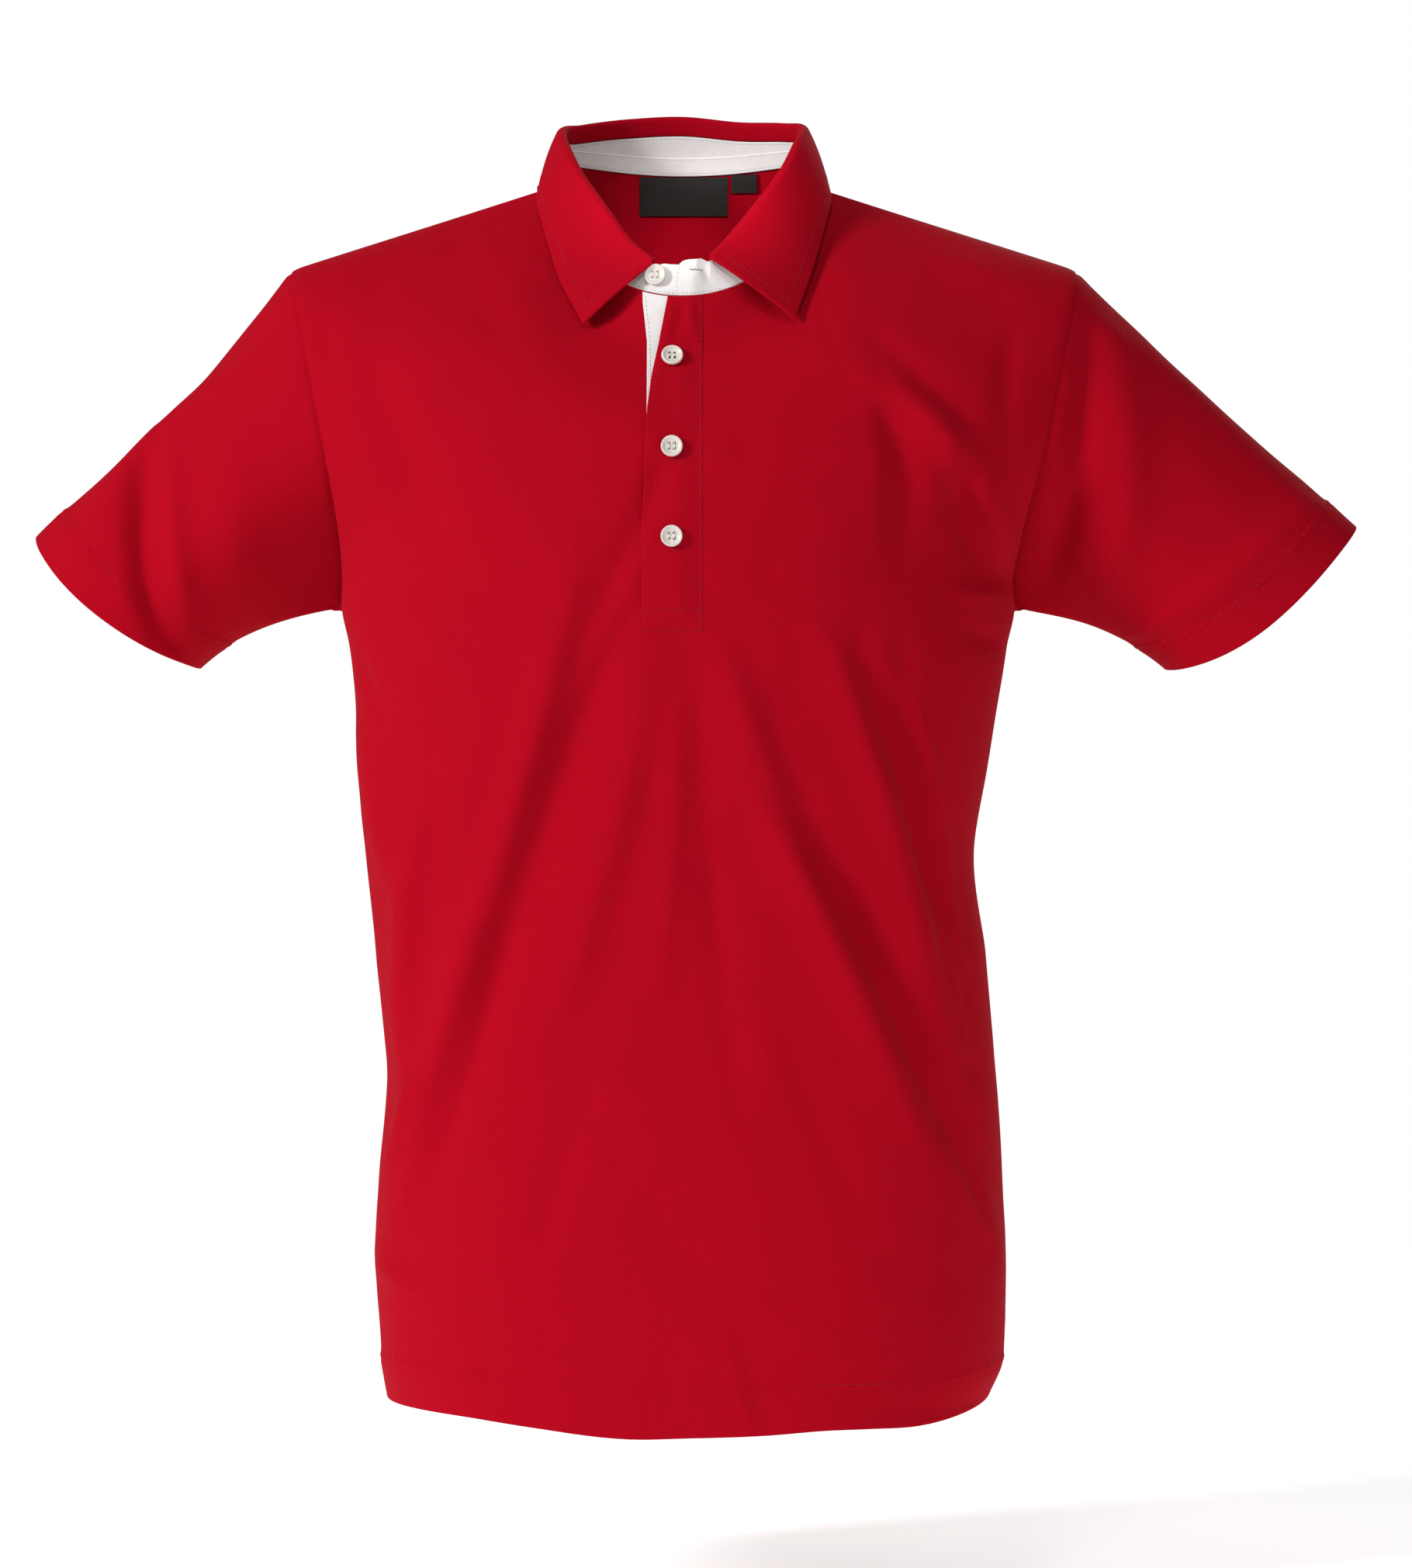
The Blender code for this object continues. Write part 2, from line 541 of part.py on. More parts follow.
def body_and_sleeves(red):
    front = folded_panel("front")
    back = folded_panel("back")
    sleeves = {c.name: folded_sleeve(c, armhole(front, back, c.side)) for c in CUFFS}
    front_normals = grid_normals(front, panel_outward(front))
    back_normals = grid_normals(back, panel_outward(back))
    last = front.shape[1] - 1
    under = ROWS_OVER_UNDERARM

    # Side and shoulder seams
    for column in (0, last):
        share(front_normals, np.s_[under:, column], back_normals, np.s_[under:, column])
    share(front_normals, np.s_[0, : SHOULDER_COLUMNS + 1], back_normals, np.s_[0, : SHOULDER_COLUMNS + 1])
    right_side = last - SHOULDER_COLUMNS
    share(front_normals, np.s_[0, right_side:], back_normals, np.s_[0, right_side:])

    sleeve_normals = {}
    for cuff in CUFFS:
        points = sleeves[cuff.name]
        normals = grid_normals(points, sleeve_outward(points), ring=True)
        column = 0 if cuff.side < 0 else last
        ring = armhole(front_normals, back_normals, cuff.side)
        both = unit(ring + normals[0])
        normals[0] = both
        front_normals[: under + 1, column] = both[: under + 1]
        back_normals[1:under, column] = both[under + 1 :][::-1]
        back_normals[0, column] = both[0]
        back_normals[under, column] = both[under]
        sleeve_normals[cuff.name] = normals

    half = 0.5 * SEAM_GAP
    panels = {"front_body": (front, front_normals), "back_body": (back, back_normals)}
    for name, (points, normals) in panels.items():
        edges = (
            (np.s_[:, 0], np.s_[:, 1]),
            (np.s_[:, last], np.s_[:, last - 1]),
            (np.s_[0, : SHOULDER_COLUMNS + 1], np.s_[1, : SHOULDER_COLUMNS + 1]),
            (np.s_[0, right_side:], np.s_[1, right_side:]),
        )
        for edge in edges:
            ease_back(points, edge, half)
        skip = slit() if name == "front_body" else ()
        wall(name, points, points - CLOTH * normals, red, skip=skip)
    for name, points in sleeves.items():
        ease_back(points, (np.s_[0], np.s_[1]), half)
        wall(name, points, points - CLOTH * sleeve_normals[name], red, ring=True)
    return panels


def on_row(points, i, x):
    """A point of a panel's row at a distance across, on the straight line between its columns."""
    row = points[i]
    return np.array([np.interp(x, row[:, 0], row[:, k]) for k in range(3)])


def layer(panels, lefts, rights, foot_row, steps, lift):
    """A grid that lies over the front panel, from the neckline down, between two side lines."""
    points, normals = panels["front_body"]
    grid = []
    for i in range(foot_row + 1):
        xs = np.linspace(lefts[i], rights[i], steps + 1)
        across = points[i, :, 0]
        grid.append(smooth(xs, across, points[i]) + lift * unit(smooth(xs, across, normals[i])))
    return np.array(grid)


def plackets(panels, red, white):
    """The under placket, and over it the upper one, which swings open towards the neck."""
    points = panels["front_body"][0]
    foot = ROWS_OVER_UNDERARM + 1
    heights = np.array([on_row(points, i, 0)[2] for i in range(foot + 1)])
    right = np.full(foot + 1, PLACKET_RIGHT)
    left = np.full(foot + 1, PLACKET_LEFT)
    swing = np.interp(-heights, [0.07, 0.145, 0.20], [-0.008, -0.0202, PLACKET_LEFT])
    under_low = layer(panels, left + 0.001, right - 0.001, foot - 1, 4, LAYER_GAP)
    under_high = layer(panels, left + 0.001, right - 0.001, foot - 1, 4, LAYER_GAP + TWILL)
    wall("placket_under", under_high, under_low, white)
    lift = 2 * LAYER_GAP + TWILL
    over_low = layer(panels, swing, right, foot, 4, lift)
    over_high = layer(panels, swing, right, foot, 4, lift + CLOTH)
    wall("placket_top", over_high, over_low, red)
    return over_high, grid_normals(over_high, np.array([0, -1.0, 0]))


def neck_seam(panels, at):
    """Points of the neck seam at stations from -1 to 1, the wearer's right to left."""
    top, _, neck = columns()
    open_columns = np.abs(top) <= neck * 1.0001
    turn = np.arcsin(np.clip(top[open_columns] / neck, -1, 1)) / np.pi
    back = panels["back_body"][0][0][open_columns]
    front = panels["front_body"][0][0][open_columns]
    front_at = np.where(turn >= 0, 1 - turn, -1 - turn)
    stations = np.concatenate([turn, front_at[1:-1]])
    points = np.concatenate([back, front[1:-1]])
    return np.stack([np.interp(at, stations, points[:, k], period=2) for k in range(3)], axis=-1)


def collar_line(name, at):
    """A line of the collar at stations from -1 to 1."""
    knots = [row.at for row in COLLAR_STATIONS]
    return smooth(at, knots, [getattr(row, name) for row in COLLAR_STATIONS])


def collar_frame(panels, at):
    """At each station: the seam, the middle of the stand's top edge, the fold and the way outwards."""
    last = COLLAR_STATIONS[-1].at
    held = np.clip(at, -last, last)
    fold = collar_line("fold", held)
    outward = fold * np.array([1, 1, 0]) - np.array([0, -0.010, 0])
    outward = unit(outward)
    leg = fold - outward * COLLAR_FOLD_RADIUS
    rise = leg - neck_seam(panels, held)
    forward = np.clip((np.abs(held) - LIP_TAPER) / (last - LIP_TAPER), 0, 1)
    lip = COLLAR_LIP_BACK + (COLLAR_LIP_FRONT - COLLAR_LIP_BACK) * forward
    height = np.linalg.norm(rise, axis=-1)
    seam = neck_seam(panels, at)
    top = seam + rise * ((height - lip) / height)[:, None]
    return seam, top, fold, outward, unit(rise), lip


def push_out(points, panels, clearance):
    """Moves points that lie nearer than the clearance to the outside of the panels."""
    trees = []
    for outer, normals in panels.values():
        flat = outer.reshape(-1, 3)
        count = outer.shape[1]
        faces = [
            (i * count + j, (i + 1) * count + j, (i + 1) * count + j + 1, i * count + j + 1)
            for i in range(outer.shape[0] - 1)
            for j in range(count - 1)
        ]
        tree = BVHTree.FromPolygons([tuple(p) for p in flat], faces)
        trees.append((tree, normals.reshape(-1, 3), faces))
    for index in np.ndindex(points.shape[:-1]):
        for tree, normals, faces in trees:
            place, _, face, _ = tree.find_nearest(Vector(points[index]))
            normal = unit(normals[list(faces[face])].mean(axis=0))
            away = points[index] - np.array(place)
            height = float(away @ normal)
            over_it = np.linalg.norm(away - height * normal) < clearance
            if over_it and height < clearance:
                points[index] += (clearance - height) * normal
    return points


def collar(panels, red, white):
    """The fall, folded over the stand, the stand itself and the tape over the back neck seam."""
    last = COLLAR_STATIONS[-1].at
    at = np.linspace(-last, last, COLLAR_COLUMNS + 1)
    _, top, fold, outward, up, lip = collar_frame(panels, at)
    edge = collar_line("edge", at)
    radius = COLLAR_FOLD_RADIUS
    crown = fold - up * radius
    lines = [top + up * SEAM_GAP, crown - outward * radius]
    for degrees in (45, 90, 135):
        turn = np.radians(degrees)
        lines.append(crown + radius * (-np.cos(turn) * outward + np.sin(turn) * up))
    start = crown + outward * radius
    control = 0.5 * (start + edge) + outward * FALL_BULGE + np.array([0, 0, 0.5 * FALL_BULGE])
    for t in (0.0, 0.2, 0.45, 0.72, 1.0):
        lines.append((1 - t) ** 2 * start + 2 * t * (1 - t) * control + t**2 * edge)
    grid = np.array(lines)
    grid[6:] = push_out(grid[6:], panels, COLLAR_CLEARANCE)
    inside = (fold - up * 0.012)[None, :, :]
    normals = grid_normals(grid, grid - inside)
    half = 0.5 * RIB * normals
    wall("collar_fall", grid + half, grid - half, red)

    # The stand runs on past the fall to its two rounded ends.
    fine = 4
    right_end = np.linspace(STAND_START, -last, fine + 1)[:-1]
    left_end = np.linspace(last, STAND_FINISH, fine + 1)[1:]
    at = np.concatenate([right_end, at, left_end])
    seam, top, _, outward, up, _ = collar_frame(panels, at)
    left = np.minimum(at - STAND_START, STAND_FINISH - at) / STAND_ROUNDING
    past = np.clip((np.abs(at) - last) / (1 - last), 0, 1)
    rounded = 0.78 + 0.22 * np.sqrt(1 - (1 - np.clip(left, 0, 1)) ** 2)
    share_of_height = (1 - STAND_DIP * past) * rounded
    foot = seam + up * 2 * SEAM_GAP - outward * (0.5 * TWILL + 1.5 * SEAM_GAP)
    grid = np.array([foot + (top - foot) * share_of_height[:, None] * k / 3 for k in (3, 2, 1, 0)])
    normals = grid_normals(grid, outward[None, :, :])
    half = 0.5 * TWILL * normals
    wall("collar_stand", grid + half, grid - half, white)

    # The tape lies on the inside of the stand, from one shoulder seam to the other.
    behind = np.abs(at) < TAPE_END
    lift = TWILL + LAYER_GAP
    drop = TAPE_DROP * (1 - (at / TAPE_END) ** 2)
    low = foot - drop[:, None] * np.array([0, 0, 1]) - normals[-1] * lift
    high = foot + up * TAPE_RISE - normals[-2] * lift
    tape = np.array([high, 0.5 * (low + high), low])[:, behind]
    half = 0.5 * TWILL * normals[1:][:, behind]
    wall("neck_tape", tape + half, tape - half, white)
    return grid, normals


def labels(panels, black):
    """The labels lie on the inside of the back panel, below the tape."""
    outer, normals = panels["back_body"]
    inner = outer - CLOTH * normals
    down = np.linspace(0, 1, 4)
    for label in LABELS:
        grid = np.zeros((4, 5, 3))
        for j, x in enumerate(np.linspace(label.left, label.right, 5)):
            line = np.array([on_row(inner, i, x) for i in range(ROWS_OVER_UNDERARM)])
            z = label.top + (label.foot - label.top) * down
            y = np.interp(-z, -line[:, 2], line[:, 1])
            grid[:, j] = np.stack([np.full(4, x), y, z], axis=-1)
        normal = grid_normals(grid, np.array([0, 1.0, 0]))
        wall(label.name, grid - LABEL_GAP * normal, grid - (LABEL_GAP + TWILL) * normal, black)


def button(name, centre, normal, finish):
    """A round button with a raised rim, lying on the cloth."""
    form = bmesh.new()
    profile = (
        (0.0, 0.0),
        (0.86, 0.0),
        (1.0, 0.28),
        (1.0, 0.70),
        (0.93, 1.0),
        (0.80, 0.96),
        (0.66, 0.62),
        (0.0, 0.55),
    )
    verts = [form.verts.new((r * BUTTON_RADIUS, 0, h * BUTTON_HEIGHT)) for r, h in profile]
    edges = [form.edges.new(pair) for pair in zip(verts, verts[1:])]
    bmesh.ops.spin(
        form, geom=verts + edges, cent=(0, 0, 0), axis=(0, 0, 1), angle=2 * np.pi, steps=20, use_merge=True
    )
    bmesh.ops.remove_doubles(form, verts=form.verts[:], dist=0.00002)
    bmesh.ops.recalc_face_normals(form, faces=form.faces[:])
    mesh = bpy.data.meshes.new(name)
    form.to_mesh(mesh)
    form.free()
    mesh.shade_smooth()
    mesh.set_sharp_from_angle(angle=np.radians(50))
    made = link(name, mesh, finish)
    made.location = centre
    made.rotation_mode = "QUATERNION"
    made.rotation_quaternion = Vector(normal).to_track_quat("Z", "Y")
    return made


def buttons(placket, stand, finish):
    """Three buttons down the upper placket and one on the stand's end."""
    points, normals = placket
    middle = normals[:, normals.shape[1] // 2]
    turns = np.linspace(0, 2 * np.pi, 12, endpoint=False)
    for number, z in enumerate(BUTTON_HEIGHTS, start=1):
        line = np.array([on_row(points, i, BUTTON_X) for i in range(points.shape[0])])
        y, nx, ny, nz = (
            float(np.interp(-z, -line[:, 2], values)) for values in (line[:, 1], *middle.T)
        )
        centre = np.array([BUTTON_X, y, z])
        normal = unit(np.array([nx, ny, nz]))
        # The highest cloth under the button's rim carries it.
        rise = 0.0
        for turn in turns:
            x = BUTTON_X + BUTTON_RADIUS * np.cos(turn)
            line = np.array([on_row(points, i, x) for i in range(points.shape[0])])
            height = z + BUTTON_RADIUS * np.sin(turn)
            depth = float(np.interp(-height, -line[:, 2], line[:, 1]))
            rise = max(rise, float((np.array([x, depth, height]) - centre) @ normal))
        button(f"button_{number}", centre + normal * (rise + LAYER_GAP), normal, finish)
    points, normals = stand
    x, z = STAND_BUTTON
    away = np.linalg.norm(points[..., [0, 2]] - np.array([x, z]), axis=-1)
    away[points[..., 1] > 0] = 1.0
    near = np.unravel_index(away.argmin(), away.shape)
    normal = normals[near]
    y = points[near][1] - ((np.array([x, z]) - points[near][[0, 2]]) @ normal[[0, 2]]) / normal[1]
    centre = np.array([x, y, z]) + normal * (0.5 * TWILL + LAYER_GAP)
    button("button_stand", centre, normal, finish)


clear_scene()
collection = bpy.data.collections.new("polo_shirt")
bpy.context.scene.collection.children.link(collection)
red_pique = material("red_pique", RED, 0.85)
white_twill = material("white_twill", WHITE, 0.8)
black_satin = material("black_satin", BLACK, 0.6)
pearl = material("pearl", PEARL, 0.3)
body = body_and_sleeves(red_pique)
upper_placket = plackets(body, red_pique, white_twill)
collar_band = collar(body, red_pique, white_twill)
labels(body, black_satin)
buttons(upper_placket, collar_band, pearl)
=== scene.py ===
"""Looks of a cotton polo shirt that is filled out as if worn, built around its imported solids.

Metres, +Z up. The front faces -Y and the wearer's left is +X. The cloth pieces follow the same
sections as the solids, at a finer grid, with the creases, hems, seams and stitches added.
"""

from collections import namedtuple

import bmesh
import bpy
import numpy as np
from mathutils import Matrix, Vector
from mathutils.bvhtree import BVHTree


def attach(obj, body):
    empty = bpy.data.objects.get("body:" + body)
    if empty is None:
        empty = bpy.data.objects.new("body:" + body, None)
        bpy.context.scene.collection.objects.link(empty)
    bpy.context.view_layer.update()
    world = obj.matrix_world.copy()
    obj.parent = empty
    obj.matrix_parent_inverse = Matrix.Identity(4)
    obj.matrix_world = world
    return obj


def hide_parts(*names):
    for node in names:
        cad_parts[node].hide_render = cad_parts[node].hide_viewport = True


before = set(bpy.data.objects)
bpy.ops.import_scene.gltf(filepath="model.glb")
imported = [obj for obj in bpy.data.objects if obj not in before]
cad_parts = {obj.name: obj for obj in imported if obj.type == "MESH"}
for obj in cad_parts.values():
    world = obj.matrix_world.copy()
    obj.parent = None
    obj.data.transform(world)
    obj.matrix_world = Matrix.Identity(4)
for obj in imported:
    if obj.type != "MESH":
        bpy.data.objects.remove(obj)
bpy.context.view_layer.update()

# Cloth
CLOTH = 0.0014
HEM_CLOTH = 0.0024  # two layers pressed flat
RIB = 0.0018
TWILL = 0.0010
SEAM_GAP = 0.0004
LAYER_GAP = 0.0004
FINE = 7  # steps of the fine grid in each step of the solids' grid

# Body
NECK_HALF = 0.077
NECK_DROP_FRONT = 0.070
NECK_DEPTH_FRONT = 0.080
NECK_RISE_BACK = 0.0145
NECK_RISE_SIDE = 0.0070
NECK_DEPTH_BACK = 0.057
NECK_ROUNDING_FRONT = 0.095
NECK_ROUNDING_BACK = 0.070
SHOULDER_FALL = 0.32
TIP_Z = -0.047
UNDERARM_Z = -0.241
HEM_Z = -0.691
HEM_DIP = 0.010
HEM_SKEW = 0.009
ARMHOLE_RADIUS_Z = 0.5 * (TIP_Z - UNDERARM_Z)
ARMHOLE_DEPTH_FRONT = 0.060
ARMHOLE_DEPTH_BACK = 0.064
SIDE_ROUNDING = 0.050
SOFTENING = 0.20
PLACKET_RIGHT = 0.0115
PLACKET_FOOT_Z = -0.258
SLIT_LEFT = -0.018
SLIT_RIGHT = 0.008
UNDER_CLOTH = 0.0006
PLACKET_CLOTH = 0.0011
PLACKET_GAP = 0.0002
PLACKET_SINK_WIDTH = 0.014
PLACKET_PROUD = 0.0003  # how far its sewn edges stand out
UNDER_INSET = 0.001
PLACKET_FOOT_ROWS = (0.0016, 0.0122)
PLACKET_SIDE_ROW = 0.0009
UNDER_SIDE_ROW = 0.0020
# Pairs of a height and where the placket's right edge is there: between the two the white shows
UPPER_EDGE = (
    (-0.200, -0.0220),
    (-0.137, -0.0194),
    (-0.1176, -0.0169),
    (-0.098, -0.0129),
    (-0.070, -0.0078),
)
UNDER_EDGE = ((-0.098, -0.0195), (-0.084, -0.0210), (-0.076, -0.0219))

ROWS_OVER_UNDERARM = 12
ROWS_UNDER = 20
NECK_COLUMNS = 6
SHOULDER_COLUMNS = 8
SLEEVE_ROWS = 10
COLLAR_COLUMNS = 38

# Hems and seams
HEM_STITCH = 0.024  # above the hem's edge
CUFF_STITCH = 0.023
TWIN_ROWS = 0.0032  # between the two rows of a twin needle
EDGE_STEPS = (0.0001, 0.0004, 0.0009, 0.0015)  # rows that round an edge, from the edge
STITCH_STEPS = (-0.004, -0.0025, -0.0012, 0.0, 0.0012, 0.0025, 0.004)
HEM_BAND = 0.00045  # how far the turned band stands out
HEM_GROOVE = 0.00035  # and how deep its stitches lie
HEM_BAND_TOP = 0.0035  # how far above its stitches the band ends
HEM_BAND_EASE = 0.0010
GROOVE_WIDTH = 0.0011
PUCKER = 0.00010
PUCKER_WAVES = (0.006, 0.009, 0.013, 0.021)
PUCKER_REACH = 0.007
ARMHOLE_STITCH = 0.004
SLEEVE_EASE = 0.012  # over this length from the armhole a sleeve's folds come in
THREAD_LIFT = 0.00015
SEAM_DEPTH = 0.0007
SEAM_WIDTH = 0.0024
Stitch = namedtuple("Stitch", "pitch length thick")
HEM_STITCHES = Stitch(0.0030, 0.0026, 0.0005)
FALL_STITCHES = Stitch(0.0030, 0.0026, 0.0004)
BAND_STITCHES = Stitch(0.0024, 0.0017, 0.00034)
UPPER_STITCHES = Stitch(0.0028, 0.0022, 0.0004)
UNDER_STITCHES = Stitch(0.0026, 0.0018, 0.00034)
BUTTON_STITCHES = Stitch(0.0006, 0.0013, 0.00075)
HOLE_STITCHES = Stitch(0.0006, 0.0009, 0.0004)
WORN_STITCHES = Stitch(0.0005, 0.0008, 0.00055)

HalfWidth = namedtuple("HalfWidth", "z right left")
HALF_WIDTHS = (
    HalfWidth(-0.691, 0.1680, 0.1740),
    HalfWidth(-0.671, 0.1715, 0.1825),
    HalfWidth(-0.650, 0.1733, 0.1845),
    HalfWidth(-0.618, 0.1757, 0.1847),
    HalfWidth(-0.560, 0.1728, 0.1828),
    HalfWidth(-0.505, 0.1692, 0.1790),
    HalfWidth(-0.440, 0.1753, 0.1735),
    HalfWidth(-0.380, 0.1815, 0.1668),
    HalfWidth(-0.333, 0.1851, 0.1744),
    HalfWidth(-0.285, 0.1880, 0.1820),
    HalfWidth(-0.262, 0.1910, 0.1860),
    HalfWidth(-0.241, 0.1955, 0.1905),
    HalfWidth(-0.225, 0.1950, 0.1890),
    HalfWidth(-0.200, 0.1960, 0.1935),
    HalfWidth(-0.160, 0.2010, 0.2025),
    HalfWidth(-0.120, 0.2085, 0.2105),
    HalfWidth(-0.080, 0.2165, 0.2190),
    HalfWidth(-0.045, 0.2245, 0.2255),
)
Depth = namedtuple("Depth", "z front back")
DEPTHS = (
    Depth(-0.702, 0.121, 0.110),
    Depth(-0.640, 0.119, 0.108),
    Depth(-0.560, 0.115, 0.103),
    Depth(-0.480, 0.112, 0.096),
    Depth(-0.400, 0.113, 0.094),
    Depth(-0.320, 0.118, 0.100),
    Depth(-0.260, 0.122, 0.110),
    Depth(-0.200, 0.121, 0.115),
    Depth(-0.150, 0.114, 0.113),
    Depth(-0.100, 0.098, 0.104),
    Depth(-0.060, 0.084, 0.092),
    Depth(0.012, 0.070, 0.070),
)

# How far the front's hem sways up, from its right edge, -1, to its left one, 1
HEM_SWAY = (
    (-1.00, 0.0),
    (-0.75, 0.0),
    (-0.45, -0.0021),
    (-0.18, -0.0036),
    (0.05, -0.0006),
    (0.25, 0.0016),
    (0.47, 0.0036),
    (0.60, 0.0024),
    (0.75, -0.0003),
    (1.00, 0.0),
)

# Folds run through three points of a panel as seen from the front. A skew over 0 makes the side to
# the left of the path steep.
Fold = namedtuple("Fold", "panel start middle end width height skew", defaults=(0.0,))
FOLDS = (
    Fold("front", (0.024, -0.270), (0.067, -0.385), (0.160, -0.586), 0.013, 0.0055, 0.25),
    Fold("front", (0.045, -0.335), (0.106, -0.441), (0.166, -0.580), 0.012, -0.0060, -0.25),
    Fold("front", (0.082, -0.265), (0.117, -0.362), (0.155, -0.490), 0.011, 0.0050, 0.25),
    Fold("front", (0.098, -0.272), (0.132, -0.370), (0.160, -0.498), 0.010, -0.0055, -0.25),
    Fold("front", (-0.060, -0.225), (-0.093, -0.362), (-0.150, -0.535), 0.013, 0.0050, 0.30),
    Fold("front", (-0.036, -0.225), (-0.068, -0.345), (-0.126, -0.500), 0.014, -0.0040),
    Fold("front", (-0.018, -0.272), (-0.036, -0.363), (-0.075, -0.485), 0.013, 0.0035, 0.20),
    Fold("front", (-0.144, -0.350), (-0.155, -0.438), (-0.151, -0.525), 0.009, 0.0055),
    Fold("front", (-0.180, -0.315), (-0.170, -0.364), (-0.160, -0.404), 0.009, 0.0045),
    Fold("front", (0.106, -0.119), (0.150, -0.154), (0.182, -0.208), 0.011, 0.0060, -0.20),
    Fold("front", (0.112, -0.128), (0.121, -0.168), (0.120, -0.216), 0.010, -0.0045, -0.20),
    Fold("front", (0.160, -0.157), (0.160, -0.190), (0.174, -0.228), 0.009, -0.0060),
    Fold("front", (-0.180, -0.100), (-0.161, -0.147), (-0.143, -0.200), 0.014, -0.0035),
    Fold("back", (-0.110, -0.200), (-0.060, -0.330), (-0.120, -0.520), 0.016, -0.0050),
    Fold("back", (0.110, -0.210), (0.050, -0.350), (0.105, -0.500), 0.016, -0.0050),
    Fold("back", (-0.165, -0.290), (-0.140, -0.370), (-0.155, -0.470), 0.012, 0.0045),
    Fold("back", (0.165, -0.280), (0.140, -0.380), (0.160, -0.500), 0.012, 0.0045),
)
FOLD_GAIN = 1.35  # the folds stand a little higher here than the coarser solids can hold them

# The finer creases, which the solids leave out
CREASES = (
    Fold("front", (-0.112, -0.415), (-0.140, -0.512), (-0.166, -0.600), 0.010, 0.0030, 0.30),
    Fold("front", (-0.096, -0.420), (-0.120, -0.505), (-0.152, -0.600), 0.008, -0.0022, -0.20),
    Fold("front", (-0.145, -0.508), (-0.158, -0.543), (-0.168, -0.567), 0.005, 0.0026),
    Fold("front", (-0.173, -0.610), (-0.162, -0.618), (-0.149, -0.623), 0.007, 0.0026),
    Fold("front", (-0.183, -0.270), (-0.176, -0.288), (-0.168, -0.306), 0.004, -0.0018),
    Fold("front", (-0.019, -0.209), (-0.039, -0.252), (-0.071, -0.320), 0.007, 0.0018, 0.30),
    Fold("front", (-0.010, -0.161), (-0.024, -0.200), (-0.047, -0.250), 0.008, -0.0020),
    Fold("front", (-0.095, -0.268), (-0.117, -0.342), (-0.138, -0.424), 0.010, 0.0016, 0.20),
    Fold("front", (-0.005, -0.278), (-0.005, -0.363), (-0.013, -0.466), 0.010, 0.0018, 0.20),
    Fold("front", (0.011, -0.270), (0.017, -0.402), (0.034, -0.530), 0.009, -0.0016),
    Fold("front", (0.127, -0.282), (0.142, -0.342), (0.160, -0.450), 0.005, 0.0022, 0.40),
    Fold("front", (0.139, -0.400), (0.152, -0.440), (0.161, -0.492), 0.004, 0.0018, 0.40),
    Fold("front", (0.146, -0.535), (0.157, -0.566), (0.170, -0.596), 0.004, 0.0024, 0.30),
    Fold("front", (0.168, -0.560), (0.174, -0.590), (0.180, -0.630), 0.006, 0.0022),
    Fold("front", (0.056, -0.466), (0.081, -0.543), (0.116, -0.612), 0.010, -0.0014),
    Fold("front", (-0.039, -0.479), (-0.062, -0.543), (-0.081, -0.603), 0.009, -0.0012),
    Fold("front", (0.023, -0.638), (0.031, -0.670), (0.040, -0.701), 0.005, 0.0010, 0.30),
    Fold("front", (0.100, -0.086), (0.134, -0.117), (0.173, -0.158), 0.008, -0.0020),
    Fold("front", (0.121, -0.260), (0.125, -0.282), (0.134, -0.307), 0.007, -0.0018),
    Fold("front", (0.185, -0.085), (0.182, -0.119), (0.179, -0.159), 0.007, -0.0022),
    Fold("front", (0.140, -0.040), (0.172, -0.052), (0.208, -0.066), 0.008, 0.0018),
    Fold("front", (0.150, -0.232), (0.166, -0.236), (0.184, -0.232), 0.006, 0.0024),
    Fold("front", (0.156, -0.254), (0.170, -0.260), (0.182, -0.262), 0.006, -0.0022),
    Fold("front", (-0.207, -0.079), (-0.201, -0.101), (-0.197, -0.128), 0.007, -0.0018),
    Fold("front", (-0.208, -0.125), (-0.204, -0.150), (-0.203, -0.180), 0.006, -0.0014),
    Fold("front", (-0.130, -0.060), (-0.104, -0.082), (-0.090, -0.120), 0.014, -0.0016),
    Fold("front", (-0.180, -0.230), (-0.160, -0.262), (-0.130, -0.290), 0.009, -0.0012),
    Fold("front", (-0.166, -0.038), (-0.190, -0.048), (-0.212, -0.056), 0.006, 0.0014),
)
# On the upper placket, where it gathers below the stand
PLACKET_CREASES = (
    Fold("placket", (0.0045, -0.072), (0.0060, -0.086), (0.0100, -0.100), 0.0030, 0.0009),
    Fold("placket", (0.0005, -0.072), (-0.0015, -0.084), (-0.0045, -0.098), 0.0035, -0.0009),
    Fold("placket", (-0.0060, -0.075), (-0.0105, -0.100), (-0.0150, -0.125), 0.0040, 0.0008),
)

# The front of a cuff swings outwards by turn_back; low_swing over 0 moves the swing to its low end.
Cuff = namedtuple(
    "Cuff", "name side top_x top_z low_x low_z y depth_radius turn_back low_swing top_bow low_bow"
)
RIGHT_CUFF = (0.3722, -0.2003, 0.2795, -0.2748, 0.018, 0.052, 12.0, -0.05, -0.0060, 0.008)
LEFT_CUFF = (0.3880, -0.1945, 0.2795, -0.2759, 0.018, 0.047, 16.0, 0.45, -0.0016, 0.008)
CUFFS = (Cuff("sleeve_right", -1, *RIGHT_CUFF), Cuff("sleeve_left", 1, *LEFT_CUFF))
SWING_POWER = 1.7
